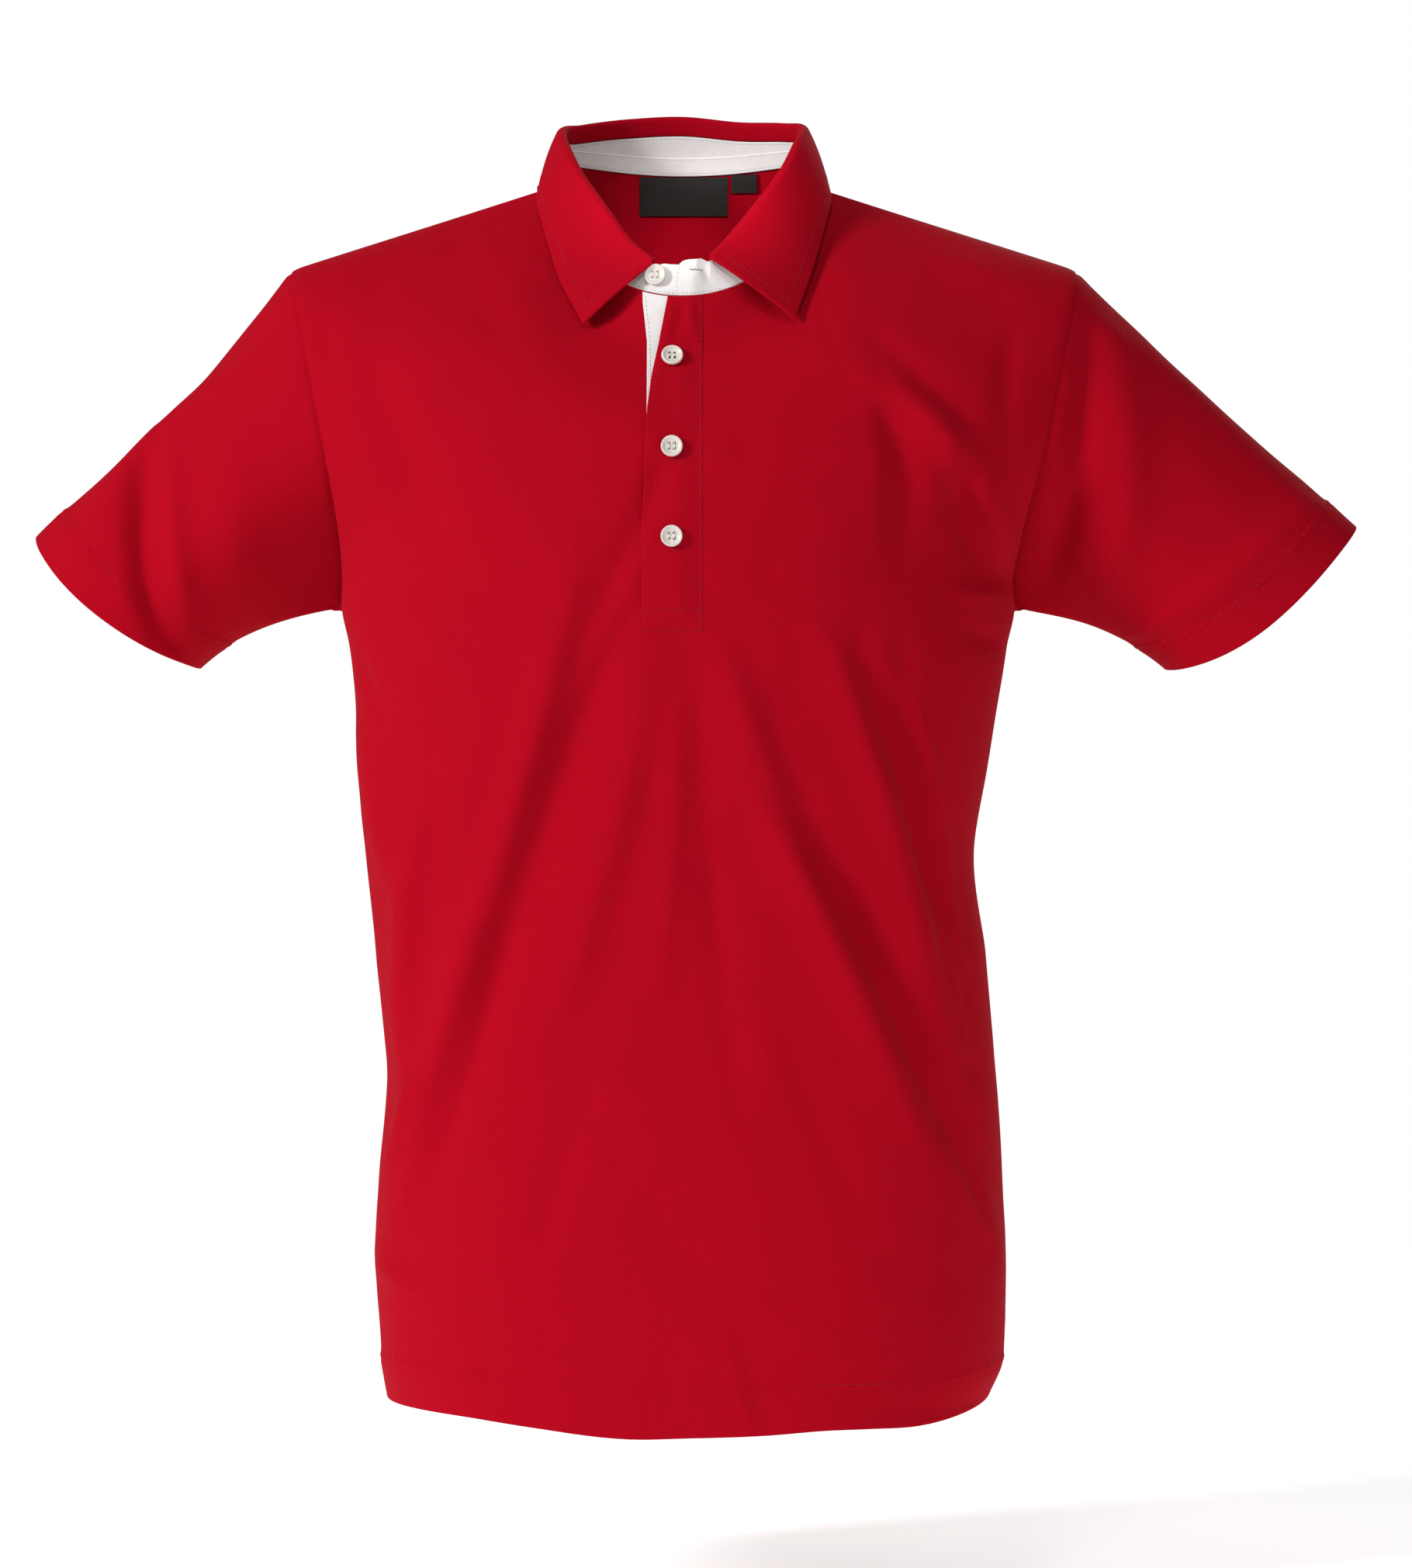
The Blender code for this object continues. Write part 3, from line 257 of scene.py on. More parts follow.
# Along a sleeve from 0, the armhole, to 1, the cuff, and round it in degrees from its top edge,
# towards the front
SleeveFold = namedtuple("SleeveFold", "sleeve start middle end width height skew", defaults=(0.0,))
SLEEVE_FOLDS = (
    SleeveFold("sleeve_right", (0.60, 28.0), (0.73, 72.0), (0.92, 128.0), 0.010, -0.0110, -0.30),
    SleeveFold("sleeve_right", (0.53, 40.0), (0.62, 78.0), (0.78, 130.0), 0.012, 0.0040, 0.30),
    SleeveFold("sleeve_right", (0.50, 12.0), (0.72, 34.0), (0.92, 60.0), 0.014, 0.0035),
    SleeveFold("sleeve_right", (0.30, 60.0), (0.42, 95.0), (0.50, 140.0), 0.018, 0.0025),
    SleeveFold("sleeve_left", (0.05, 40.0), (0.14, 95.0), (0.16, 140.0), 0.010, -0.0060),
    SleeveFold("sleeve_left", (0.16, 40.0), (0.32, 85.0), (0.42, 130.0), 0.013, 0.0040),
    SleeveFold("sleeve_left", (0.88, 20.0), (0.80, 80.0), (0.66, 145.0), 0.011, 0.0045, 0.20),
    SleeveFold("sleeve_right", (0.15, 250.0), (0.50, 270.0), (0.85, 290.0), 0.016, -0.0050),
    SleeveFold("sleeve_left", (0.15, 255.0), (0.50, 268.0), (0.85, 285.0), 0.016, -0.0050),
)
SLEEVE_GIRTH = 0.36

# Round the neck from the wearer's right, -1, over the back, 0, to the left, 1: where the fall folds
# over and where its lower edge lies
Station = namedtuple("Station", "at fold edge")
COLLAR_STATIONS = (
    Station(-0.933, (-0.0160, -0.076, -0.0490), (-0.0552, -0.0822, -0.0855)),
    Station(-0.847, (-0.0300, -0.063, -0.0360), (-0.0690, -0.0612, -0.0585)),
    Station(-0.767, (-0.0440, -0.052, -0.0160), (-0.0743, -0.0470, -0.0418)),
    Station(-0.683, (-0.0570, -0.038, 0.0030), (-0.0793, -0.0305, -0.0246)),
    Station(-0.600, (-0.0645, -0.022, 0.0180), (-0.0828, -0.0152, -0.0106)),
    Station(-0.500, (-0.0690, 0.002, 0.0320), (-0.0818, 0.0030, 0.0005)),
    Station(-0.320, (-0.0580, 0.027, 0.0388), (-0.0715, 0.0360, 0.0010)),
    Station(-0.157, (-0.0320, 0.044, 0.0442), (-0.0400, 0.0620, 0.0010)),
    Station(0.000, (0.0000, 0.049, 0.0462), (0.0000, 0.0680, 0.0010)),
    Station(0.157, (0.0320, 0.044, 0.0425), (0.0400, 0.0620, 0.0010)),
    Station(0.320, (0.0580, 0.027, 0.0398), (0.0715, 0.0360, 0.0010)),
    Station(0.500, (0.0690, 0.002, 0.0340), (0.0830, 0.0030, 0.0005)),
    Station(0.600, (0.0645, -0.022, 0.0220), (0.0841, -0.0149, -0.0106)),
    Station(0.683, (0.0570, -0.038, 0.0065), (0.0806, -0.0300, -0.0246)),
    Station(0.767, (0.0430, -0.052, -0.0135), (0.0763, -0.0465, -0.0417)),
    Station(0.847, (0.0275, -0.063, -0.0330), (0.0718, -0.0596, -0.0570)),
    Station(0.933, (0.0160, -0.076, -0.0465), (0.0628, -0.0810, -0.0825)),
)
COLLAR_LIP_BACK = 0.011
COLLAR_LIP_FRONT = 0.003
LIP_TAPER = 0.5
COLLAR_FOLD_RADIUS = 0.0022
COLLAR_CLEARANCE = 0.0022
FALL_BULGE = 0.0025
FALL_STITCH = 0.0070
FALL_START = 16  # rows of the fall's grid before its outer side
STAND_START = -0.976
STAND_FINISH = 1.022
STAND_ROUNDING = 0.03
STAND_UNDER = 0.022  # how far the wearer's right end runs on below the left one
STAND_LAP = 0.0024  # how far the left end lies over the right one
STAND_LAPPED = 0.985  # the station from which it does so in full
STAND_LEAN = 0.003
STAND_CREST = 0.14  # the rise towards its front ends, as a share of its height
STAND_END = 0.78  # the height left at its rounded end
STAND_STITCH = 0.0014
TAPE_RISE = 0.0087
TAPE_DROP = 0.002
TAPE_END = 0.42
TAPE_CLOTH = 0.0006
TAPE_STITCH_TOP = 0.0009
TAPE_STITCH_FOOT = 0.0018
STAND_CREASES = (
    Fold("stand", (0.0035, -0.0480), (0.0078, -0.0535), (0.0120, -0.0480), 0.0022, -0.0007),
    Fold("stand", (0.0020, -0.0620), (0.0078, -0.0575), (0.0140, -0.0630), 0.0026, 0.0007),
    Fold("stand", (0.0160, -0.0500), (0.0130, -0.0560), (0.0170, -0.0640), 0.0022, -0.0006),
    Fold("stand", (-0.0230, -0.0520), (-0.0215, -0.0590), (-0.0230, -0.0640), 0.0022, -0.0006),
    Fold("stand", (-0.0070, -0.0500), (-0.0075, -0.0580), (-0.0085, -0.0650), 0.0022, -0.0006),
)

Label = namedtuple("Label", "name left right top foot")
LABEL_GAP = 0.0008
LABELS = (
    Label("label_main", -0.0258, 0.0262, 0.0126, -0.0086),
    Label("label_size", 0.0285, 0.0435, 0.0136, 0.0038),
)

BUTTON_X = -0.0055
BUTTON_HEIGHTS = (-0.1046, -0.1560, -0.2055)
STAND_BUTTON = (-0.0147, -0.0575)
# What shows of a buttonhole below its button: how far below, how far out, and then how far each
# end runs on outwards and down
HOLE_BELOW = 0.0068
HOLE_OUT = 0.0013
HOLE_END = (0.0008, 0.0009)
WORN_HOLE = (0.0046, 0.0110)  # from side to side
WORN_HOLE_Z = -0.0548
WORN_WAVE = 0.00035
WORN_WAVE_LENGTH = 0.0021
BUTTON_RADIUS = 0.0061
BUTTON_HEIGHT = 0.0026
BUTTON_DISH = 0.60  # the height of its sunk middle, where the thread lies
THREAD_BOW = 0.00025
HOLE_PLACE = 0.00145
HOLE_RADIUS = 0.00085
# How far the bars of thread lean in the holes
BUTTON_TILTS = {"button_1": 0.7, "button_2": 0.0, "button_3": 0.1, "button_stand": 0.0}
# From the middle of the underside round the rim to the middle of the top, in radii and heights
BUTTON_PROFILE = (
    (0.0, 0.0),
    (0.80, 0.0),
    (0.92, 0.10),
    (0.99, 0.30),
    (1.0, 0.55),
    (0.985, 0.80),
    (0.94, 0.96),
    (0.88, 1.0),
    (0.80, 0.95),
    (0.74, 0.80),
    (0.68, 0.66),
    (0.60, 0.60),
    (0.30, 0.57),
    (0.0, 0.56),
)

# The camera is level and its distance is the one at which a pixel is 0.445 mm at the side seams.
PHOTO_HEIGHT = 2021
CAMERA_DISTANCE = 3.0
CAMERA_X = 0.01335
CAMERA_Z = -0.3418
PIXEL = 0.000445
SENSOR = 36.0
FLOOR_Z = -0.80
FLOOR_RADIUS = 2.6


def unit(vectors):
    return vectors / np.maximum(np.linalg.norm(vectors, axis=-1, keepdims=True), 1e-12)


def eased(t):
    """From 0 to 1 with a level start and end."""
    return t**2 * (3 - 2 * t)


def bell(distance, width):
    return np.exp(-((distance / width) ** 2))


def sampled(at, knots, line, **period):
    """The points of a line at places between its knots."""
    return np.stack([np.interp(at, knots, line[:, k], **period) for k in range(3)], axis=-1)


def smooth(at, knots, values):
    """A smooth curve through the values, held level past its ends."""
    knots = np.asarray(knots, float)
    values = np.asarray(values, float)
    slopes = np.gradient(values, knots, axis=0)
    at = np.clip(np.asarray(at, float), knots[0], knots[-1])
    k = np.clip(np.searchsorted(knots, at, side="right") - 1, 0, len(knots) - 2)
    span = knots[k + 1] - knots[k]
    t = (at - knots[k]) / span
    if values.ndim > 1:
        t = t[..., None]
        span = span[..., None]
    return (
        (2 * t**3 - 3 * t**2 + 1) * values[k]
        + (t**3 - 2 * t**2 + t) * span * slopes[k]
        + (3 * t**2 - 2 * t**3) * values[k + 1]
        + (t**3 - t**2) * span * slopes[k + 1]
    )


def half_width(z, left):
    knots = [row.z for row in HALF_WIDTHS]
    on_left = smooth(z, knots, [row.left for row in HALF_WIDTHS])
    on_right = smooth(z, knots, [row.right for row in HALF_WIDTHS])
    return np.where(left, on_left, on_right)


def quadratic(start, middle, end, count=25):
    start, middle, end = (np.array(p, float) for p in (start, middle, end))
    control = 2 * middle - 0.5 * (start + end)
    t = np.linspace(0, 1, count)[:, None]
    return (1 - t) ** 2 * start + 2 * t * (1 - t) * control + t**2 * end


def fold_height(fold, places):
    """The height of one fold at places of its surface, as a soft ridge that fades at its ends."""
    path = quadratic(fold.start, fold.middle, fold.end)
    best = np.full(places.shape[:-1], np.inf)
    along = np.zeros_like(best)
    side = np.zeros_like(best)
    for k, (a, b) in enumerate(zip(path, path[1:])):
        run = b - a
        away = places - a
        t = np.clip(away @ run / (run @ run), 0, 1)
        rest = away - t[..., None] * run
        distance = np.linalg.norm(rest, axis=-1)
        nearer = distance < best
        best = np.where(nearer, distance, best)
        along = np.where(nearer, (k + t) / (len(path) - 1), along)
        side = np.where(nearer, np.sign(run[0] * rest[..., 1] - run[1] * rest[..., 0]), side)
    fade = np.sin(np.pi * np.clip(0.06 + 0.88 * along, 0, 1)) ** 0.8
    width = fold.width * (1 - fold.skew * side)
    return fold.height * fade * bell(best, width)


def ripple(places, length, seed):
    """Soft unevenness between -1 and 1 whose waves are about one length long."""
    draw = np.random.default_rng(seed)
    total = np.zeros(places.shape[:-1])
    waves = 18
    for _ in range(waves):
        turn = draw.uniform(0, 2 * np.pi)
        size = length * draw.uniform(0.7, 1.6)
        run = places[..., 0] * np.cos(turn) + places[..., 1] * np.sin(turn)
        total += np.cos(2 * np.pi * (run / size + draw.uniform()))
    return total / np.sqrt(2 * waves)


def columns():
    """Across a panel, at its top and at its foot: -1 and 1 are its edges, 0 is the centre."""
    top_width = HALF_WIDTHS[-1].left
    neck = NECK_HALF / top_width
    power = 0.8

    def half(first):
        start = np.arcsin(min(1.0, first / neck))
        neck_part = neck * np.sin(np.linspace(start, np.pi / 2, NECK_COLUMNS * FINE + 1))
        shoulder_part = np.linspace(neck, 1.0, SHOULDER_COLUMNS * FINE + 1)[1:]
        top = np.concatenate([neck_part, shoulder_part])
        turn = np.linspace(np.arcsin(first ** (1 / power)), np.pi / 2, len(top))
        return top, np.sin(turn) ** power

    right_top, right_foot = half(-SLIT_LEFT / top_width)
    left_top, left_foot = half(SLIT_RIGHT / top_width)
    slit_top = np.linspace(-right_top[0], left_top[0], FINE + 1)[1:-1]
    slit_foot = np.linspace(-right_foot[0], left_foot[0], FINE + 1)[1:-1]
    top = np.concatenate([-right_top[::-1], slit_top, left_top])
    foot = np.concatenate([-right_foot[::-1], slit_foot, left_foot])
    return top, foot, neck


def rows():
    """Down a panel: 0 is its top edge, 1 the level of the underarm, 2 the hem."""
    over = 0.5 * (1 - np.cos(np.pi * np.linspace(0, 1, ROWS_OVER_UNDERARM * FINE + 1)))
    height = UNDERARM_Z - HEM_Z
    foot = (UNDERARM_Z - PLACKET_FOOT_Z) / height
    first = 1 + np.linspace(0, foot, FINE + 1)[1:-1]
    under = 1 + np.linspace(foot, 1, (ROWS_UNDER - 1) * FINE + 1)
    stitched = 2 - (HEM_STITCH + np.array(STITCH_STEPS)) / height
    edge = 2 - np.array(EDGE_STEPS) / height
    return np.sort(np.concatenate([over, first, under, stitched, edge]))


def top_edge(face, u, neck):
    s = np.clip(np.abs(u) / neck, 0, 1)
    opening = np.sqrt(1 - s**2)
    outside = np.maximum(np.abs(u) / neck - 1, 0) * NECK_HALF
    if face == "front":
        height = np.where(s < 1, -NECK_DROP_FRONT * opening**1.1, -SHOULDER_FALL * outside)
        return -NECK_DEPTH_FRONT * opening, height
    rise = (NECK_RISE_BACK + NECK_RISE_SIDE * s**2) * opening**0.3
    height = np.where(s < 1, rise, -SHOULDER_FALL * outside)
    return NECK_DEPTH_BACK * opening, height


def softened_edge(face, top, neck, v):
    fine = np.linspace(-1, 1, 401)
    exact = top_edge(face, top, neck)
    along = top_edge(face, fine, neck)
    inside = np.clip((1 - np.abs(top)) / (1 - neck), 0, 1)
    found = ([exact[0]], [exact[1]])
    for spread in SOFTENING * np.sqrt(v[1:]):
        weights = np.exp(-0.5 * ((top[:, None] - fine) / spread) ** 2)
        weights /= weights.sum(axis=1, keepdims=True)
        for k in (0, 1):
            found[k].append(exact[k] + (weights @ along[k] - exact[k]) * inside)
    return np.array(found[0]), np.array(found[1])


def base_panel(face):
    """Points of a body panel without its folds: an array of rows and columns."""
    top, foot, neck = columns()
    v = rows()[:, None]
    blend = eased(np.clip(v - 0.15, 0, 0.85) / 0.85)
    u = (1 - blend) * top[None, :] + blend * foot[None, :]
    y_top, z_top = softened_edge(face, top, neck, rows())

    ease = np.clip(1 - v, 0, 1)
    over = TIP_Z + (UNDERARM_Z - TIP_Z) * np.minimum(v, 1) + (z_top - TIP_Z) * ease
    hem = HEM_Z - HEM_DIP * (1 - np.abs(u) ** 2.2) - HEM_SKEW * u * (1 - u**2)
    if face == "front":
        hem = hem + smooth(u, *zip(*HEM_SWAY))
    under = np.clip(v - 1, 0, 1)
    z = np.where(v <= 1, over, UNDERARM_Z + (hem - UNDERARM_Z) * under)
    x = u * half_width(z, u > 0)

    knots = [row.z for row in DEPTHS]
    middle = smooth(z, knots, [getattr(row, face) for row in DEPTHS])
    armhole_middle = TIP_Z - ARMHOLE_RADIUS_Z
    depth = ARMHOLE_DEPTH_FRONT if face == "front" else ARMHOLE_DEPTH_BACK
    low = np.clip((armhole_middle - z) / ARMHOLE_RADIUS_Z, 0, 1)
    edge = depth * (1 - low**2) ** 1.6
    flat = np.clip((z - UNDERARM_Z + SIDE_ROUNDING) / (ARMHOLE_RADIUS_Z + SIDE_ROUNDING), 0, 1)
    sharp = 0.40 + 0.60 * eased(flat)
    across = np.clip(1 - np.abs(u) ** 2.5, 0, 1) ** sharp
    full = edge + (middle - edge) * across

    along_shoulder = np.clip((np.abs(top) - neck) / (1 - neck), 0, 1)[None, :]
    neck_span = NECK_ROUNDING_FRONT if face == "front" else NECK_ROUNDING_BACK
    span = neck_span + (ARMHOLE_RADIUS_Z - neck_span) * along_shoulder
    down = np.clip((z_top - z) / span, 0, 1)
    soft = np.sin(0.5 * np.pi * down)
    ridge = np.sqrt(1 - (1 - down) ** 2)
    round_share = eased(along_shoulder)
    rise = round_share * ridge + (1 - round_share) * soft
    sign = -1 if face == "front" else 1
    y = y_top + (sign * full - y_top) * rise
    return np.stack([x, y, z], axis=-1)


def grid_normals(points, outward, ring=False):
    """Normals of a grid, all turned to the side that outward gives for most of its points."""
    if ring:
        around = np.roll(points, -1, axis=1) - np.roll(points, 1, axis=1)
    else:
        around = np.gradient(points, axis=1)
    down = np.gradient(points, axis=0)
    normals = unit(np.cross(down, around))
    return normals * np.sign((normals * outward).sum())


def panel_outward(points):
    middle = points.copy()
    middle[..., 0] *= 0.55
    middle[..., 1] = 0
    middle[..., 2] = np.minimum(middle[..., 2], -0.10)
    return points - middle


def lengths(points, axis):
    """Distance along the surface from the grid's first row or column."""
    steps = np.linalg.norm(np.diff(points, axis=axis), axis=-1)
    total = np.cumsum(steps, axis=axis)
    return np.concatenate([np.zeros_like(np.take(total, [0], axis=axis)), total], axis=axis)


def from_last(points, axis=0):
    """Distance along the surface from the grid's last row or column."""
    return np.flip(lengths(np.flip(points, axis), axis), axis)


def from_nearer(points, axis):
    """Distance along the surface from the nearer one of the grid's two edges."""
    along = lengths(points, axis)
    return np.minimum(along, np.take(along, [-1], axis=axis) - along)


def hem_relief(distance, stitch):
    """A turned hem seen from outside: a slightly thicker band and the groove of its stitches."""
    band = 0.5 * (1 - np.tanh((distance - stitch - HEM_BAND_TOP) / HEM_BAND_EASE))
    groove = 0.0
    for row in (-0.5, 0.5):
        groove = groove + bell(distance - stitch - row * TWIN_ROWS, GROOVE_WIDTH)
    return HEM_BAND * band - HEM_GROOVE * groove


def pucker(along, distance, stitch, seed):
    """Small gathers where stitches draw the cloth together."""
    draw = np.random.default_rng(seed)
    total = 0.0
    for size in PUCKER_WAVES:
        total = total + np.cos(2 * np.pi * (along / size + draw.uniform()))
    return PUCKER * total * bell(distance - stitch, PUCKER_REACH)


def folded_panel(face):
    points = base_panel(face)
    normals = grid_normals(points, panel_outward(points))
    places = points[..., [0, 2]]
    height = np.zeros(points.shape[:2])
    for fold in FOLDS + CREASES:
        if fold.panel == face:
            height += FOLD_GAIN * fold_height(fold, places)
    height += 0.0006 * ripple(places, 0.075, seed=3) + 0.0003 * ripple(places, 0.030, seed=4)
    count = points.shape[1] - 1
    across = np.abs(2 * np.arange(count + 1) / count - 1)
    down = np.clip(rows() / rows()[3 * FINE], 0, 1)
    height *= (1 - across**10)[None, :] * down[:, None]

    from_hem = from_last(points)
    along = lengths(points, 1)
    height += hem_relief(from_hem, HEM_STITCH) + pucker(along, from_hem, HEM_STITCH, seed=5)
    height -= SEAM_DEPTH * bell(from_nearer(points, 1), SEAM_WIDTH)
    return points + normals * height[..., None]


def armhole(front, back, side):
    """The armhole's loop of points: from the shoulder tip down the front and up the back."""
    column = 0 if side < 0 else -1
    last = ROWS_OVER_UNDERARM * FINE
    down = front[: last + 1, column]
    up = back[1:last, column][::-1]
    return np.concatenate([down, up])


def sleeve_steps(cuff):
    """Along a sleeve from the armhole, 0, to the cuff's edge, 1."""
    length = np.hypot(cuff.top_x - HALF_WIDTHS[-1].left, cuff.top_z - TIP_Z)
    even = np.linspace(0, 1, SLEEVE_ROWS * FINE + 1)
    stitched = 1 - (CUFF_STITCH + np.array(STITCH_STEPS)) / length
    edge = 1 - np.array(EDGE_STEPS) / length
    seam = np.array([0.001, 0.002, 0.004]) / length
    return np.sort(np.concatenate([even, stitched, edge, seam]))


def sleeve_points(cuff, loop):
    """Rings of a sleeve from the armhole to the cuff, each from the top edge round by the front."""
    count = len(loop)
    angle = 2 * np.pi * np.arange(count) / count
    top = np.array([cuff.side * cuff.top_x, 0, cuff.top_z])
    low = np.array([cuff.side * cuff.low_x, 0, cuff.low_z])
    centre = 0.5 * (top + low) + np.array([0, cuff.y, 0])
    across = unit(top - low)
    radius = 0.5 * np.linalg.norm(top - low)
    run = np.array([-across[2], 0, across[0]])
    run = run if run[2] < 0 else -run
    turn = np.radians(cuff.turn_back)
    to_front = np.sin(angle)
    swing = np.sign(to_front) * np.abs(to_front) ** SWING_POWER
    swing = swing * (1 - cuff.low_swing * np.cos(angle))
    rim = (
        centre
        + radius * np.cos(angle)[:, None] * across
        - cuff.depth_radius * np.cos(turn) * to_front[:, None] * np.array([0, 1, 0])
        + cuff.depth_radius * np.sin(turn) * swing[:, None] * run
    )
    s = sleeve_steps(cuff)[:, None, None]
    points = loop + (rim - loop) * s
    bow = 4 * s[..., 0] * (1 - s[..., 0])
    early = 8.9 * s[..., 0] ** 1.4 * (1 - s[..., 0]) ** 1.8
    outer = np.clip(np.cos(angle), 0, 1)[None, :] * cuff.top_bow * early
    inner = np.clip(-np.cos(angle), 0, 1)[None, :] * cuff.low_bow * bow
    return points + (outer + inner)[..., None] * across


def sleeve_outward(points):
    return points - points.mean(axis=1, keepdims=True)


def folded_sleeve(cuff, loop):
    points = sleeve_points(cuff, loop)
    normals = grid_normals(points, sleeve_outward(points), ring=True)
    count = len(loop)
    steps = sleeve_steps(cuff)
    length = np.linalg.norm(points[-1] - points[0], axis=-1).mean()
    girth = SLEEVE_GIRTH / 360
    scale = (length, girth)
    s = steps[:, None] * np.ones((1, count))
    degrees = (360 * np.arange(count) / count)[None, :] * np.ones((len(steps), 1))
    places = np.stack([s * length, degrees * girth], axis=-1)
    height = np.zeros(points.shape[:2])
    for fold in SLEEVE_FOLDS:
        if fold.sleeve == cuff.name:
            ends = {k: np.multiply(getattr(fold, k), scale) for k in ("start", "middle", "end")}
            height += fold_height(fold._replace(**ends), places)
    flat = points[..., [0, 2]] + points[..., [1]]
    height += 0.0005 * ripple(flat, 0.060, seed=11 + cuff.side)
    height *= np.clip(s * length / SLEEVE_EASE, 0, 1)
    from_cuff = from_last(points)
    from_seam = lengths(points, 0)
    along = degrees * girth
    height += hem_relief(from_cuff, CUFF_STITCH) + pucker(along, from_cuff, CUFF_STITCH, seed=8)
    at_seam = np.clip(from_seam / ARMHOLE_STITCH, 0, 1)
    height += pucker(along, from_seam, ARMHOLE_STITCH, seed=9) * at_seam
    height -= SEAM_DEPTH * bell(from_seam, SEAM_WIDTH)
    return points + normals * height[..., None]


def share(normals_a, key_a, normals_b, key_b):
    both = unit(normals_a[key_a] + normals_b[key_b])
    normals_a[key_a] = both
    normals_b[key_b] = both


def thickness(distance, full):
    """A cloth edge is rounded over half of its thickness."""
    left = np.clip(1 - distance / (0.5 * full), 0, 1)
    return full * (0.25 + 0.75 * np.sqrt(1 - left**2))


def wall(name, middle, normals, thick, finish, uv, ring=False, skip=None):
    """A closed wall of cloth round a middle surface, with a UV map in metres along the cloth."""
    count_down, count_across = middle.shape[:2]
    steps = count_across if ring else count_across - 1
    i, j = np.meshgrid(np.arange(count_down - 1), np.arange(steps), indexing="ij")
    after = (j + 1) % count_across
    corners = ((i, j, j), (i + 1, j, j), (i + 1, after, j + 1), (i, after, j + 1))
    quads = np.stack([a * count_across + b for a, b, _ in corners], axis=-1)
    places = np.stack([uv[a, c] for a, _, c in corners], axis=-2)
    if skip is not None:
        quads, places = quads[~skip], places[~skip]
    quads = quads.reshape(-1, 4)
    places = places.reshape(-1, 4, 2)
    flat = middle.reshape(-1, 3)
    turn = np.cross(flat[quads[:, 1]] - flat[quads[:, 0]], flat[quads[:, 3]] - flat[quads[:, 0]])
    if (turn * normals.reshape(-1, 3)[quads[:, 0]]).sum() < 0:
        quads, places = quads[:, ::-1], places[:, ::-1]
    total = len(flat)
    starts = quads.reshape(-1)
    ends = np.roll(quads, -1, axis=1).reshape(-1)
    loops = places.reshape(-1, 2)
    next_loops = np.roll(places, -1, axis=1).reshape(-1, 2)
    open_edge = ~np.isin(starts * total + ends, ends * total + starts)
    a, b = starts[open_edge], ends[open_edge]
    rims = np.stack([b, a, a + total, b + total], axis=-1)
    at_a, at_b = loops[open_edge], next_loops[open_edge]
    rim_places = np.stack([at_b, at_a, at_a, at_b], axis=1)
    faces = np.concatenate([quads, quads[:, ::-1] + total, rims])
    thick = np.broadcast_to(thick, middle.shape[:2])[..., None]
    points = np.concatenate([(middle + 0.5 * thick * normals), (middle - 0.5 * thick * normals)])
    mesh = bpy.data.meshes.new(name)
    mesh.from_pydata(points.reshape(-1, 3).tolist(), [], faces.tolist())
    layer_uv = mesh.uv_layers.new(name="cloth")
    all_places = np.concatenate([places, places[:, ::-1], rim_places]).reshape(-1)
    layer_uv.data.foreach_set("uv", all_places.astype(np.float32))
    mesh.shade_smooth()
    mesh.set_sharp_from_angle(angle=np.radians(55))
    return show(name, mesh, finish)


def put(name, data):
    made = bpy.data.objects.new(name, data)
    bpy.context.scene.collection.objects.link(made)
    return made


def show(name, mesh, finish):
    made = put(name, mesh)
    mesh.materials.append(finish)
    return made


def mesh_of(name, form):
    mesh = bpy.data.meshes.new(name)
    form.to_mesh(mesh)
    form.free()
    return mesh


def final_mesh(holder):
    """A plain mesh of what the object's modifiers make."""
    return bpy.data.meshes.new_from_object(
        holder.evaluated_get(bpy.context.evaluated_depsgraph_get())
    )


def cloth_map(points, ring=False):
    """Distances across from the middle column and down from the top, in metres."""
    if ring:
        points = np.concatenate([points, points[:, :1]], axis=1)
    across = lengths(points, 1)
    across = across - across[:, [points.shape[1] // 2]]
    return np.stack([across, lengths(points, 0)], axis=-1)


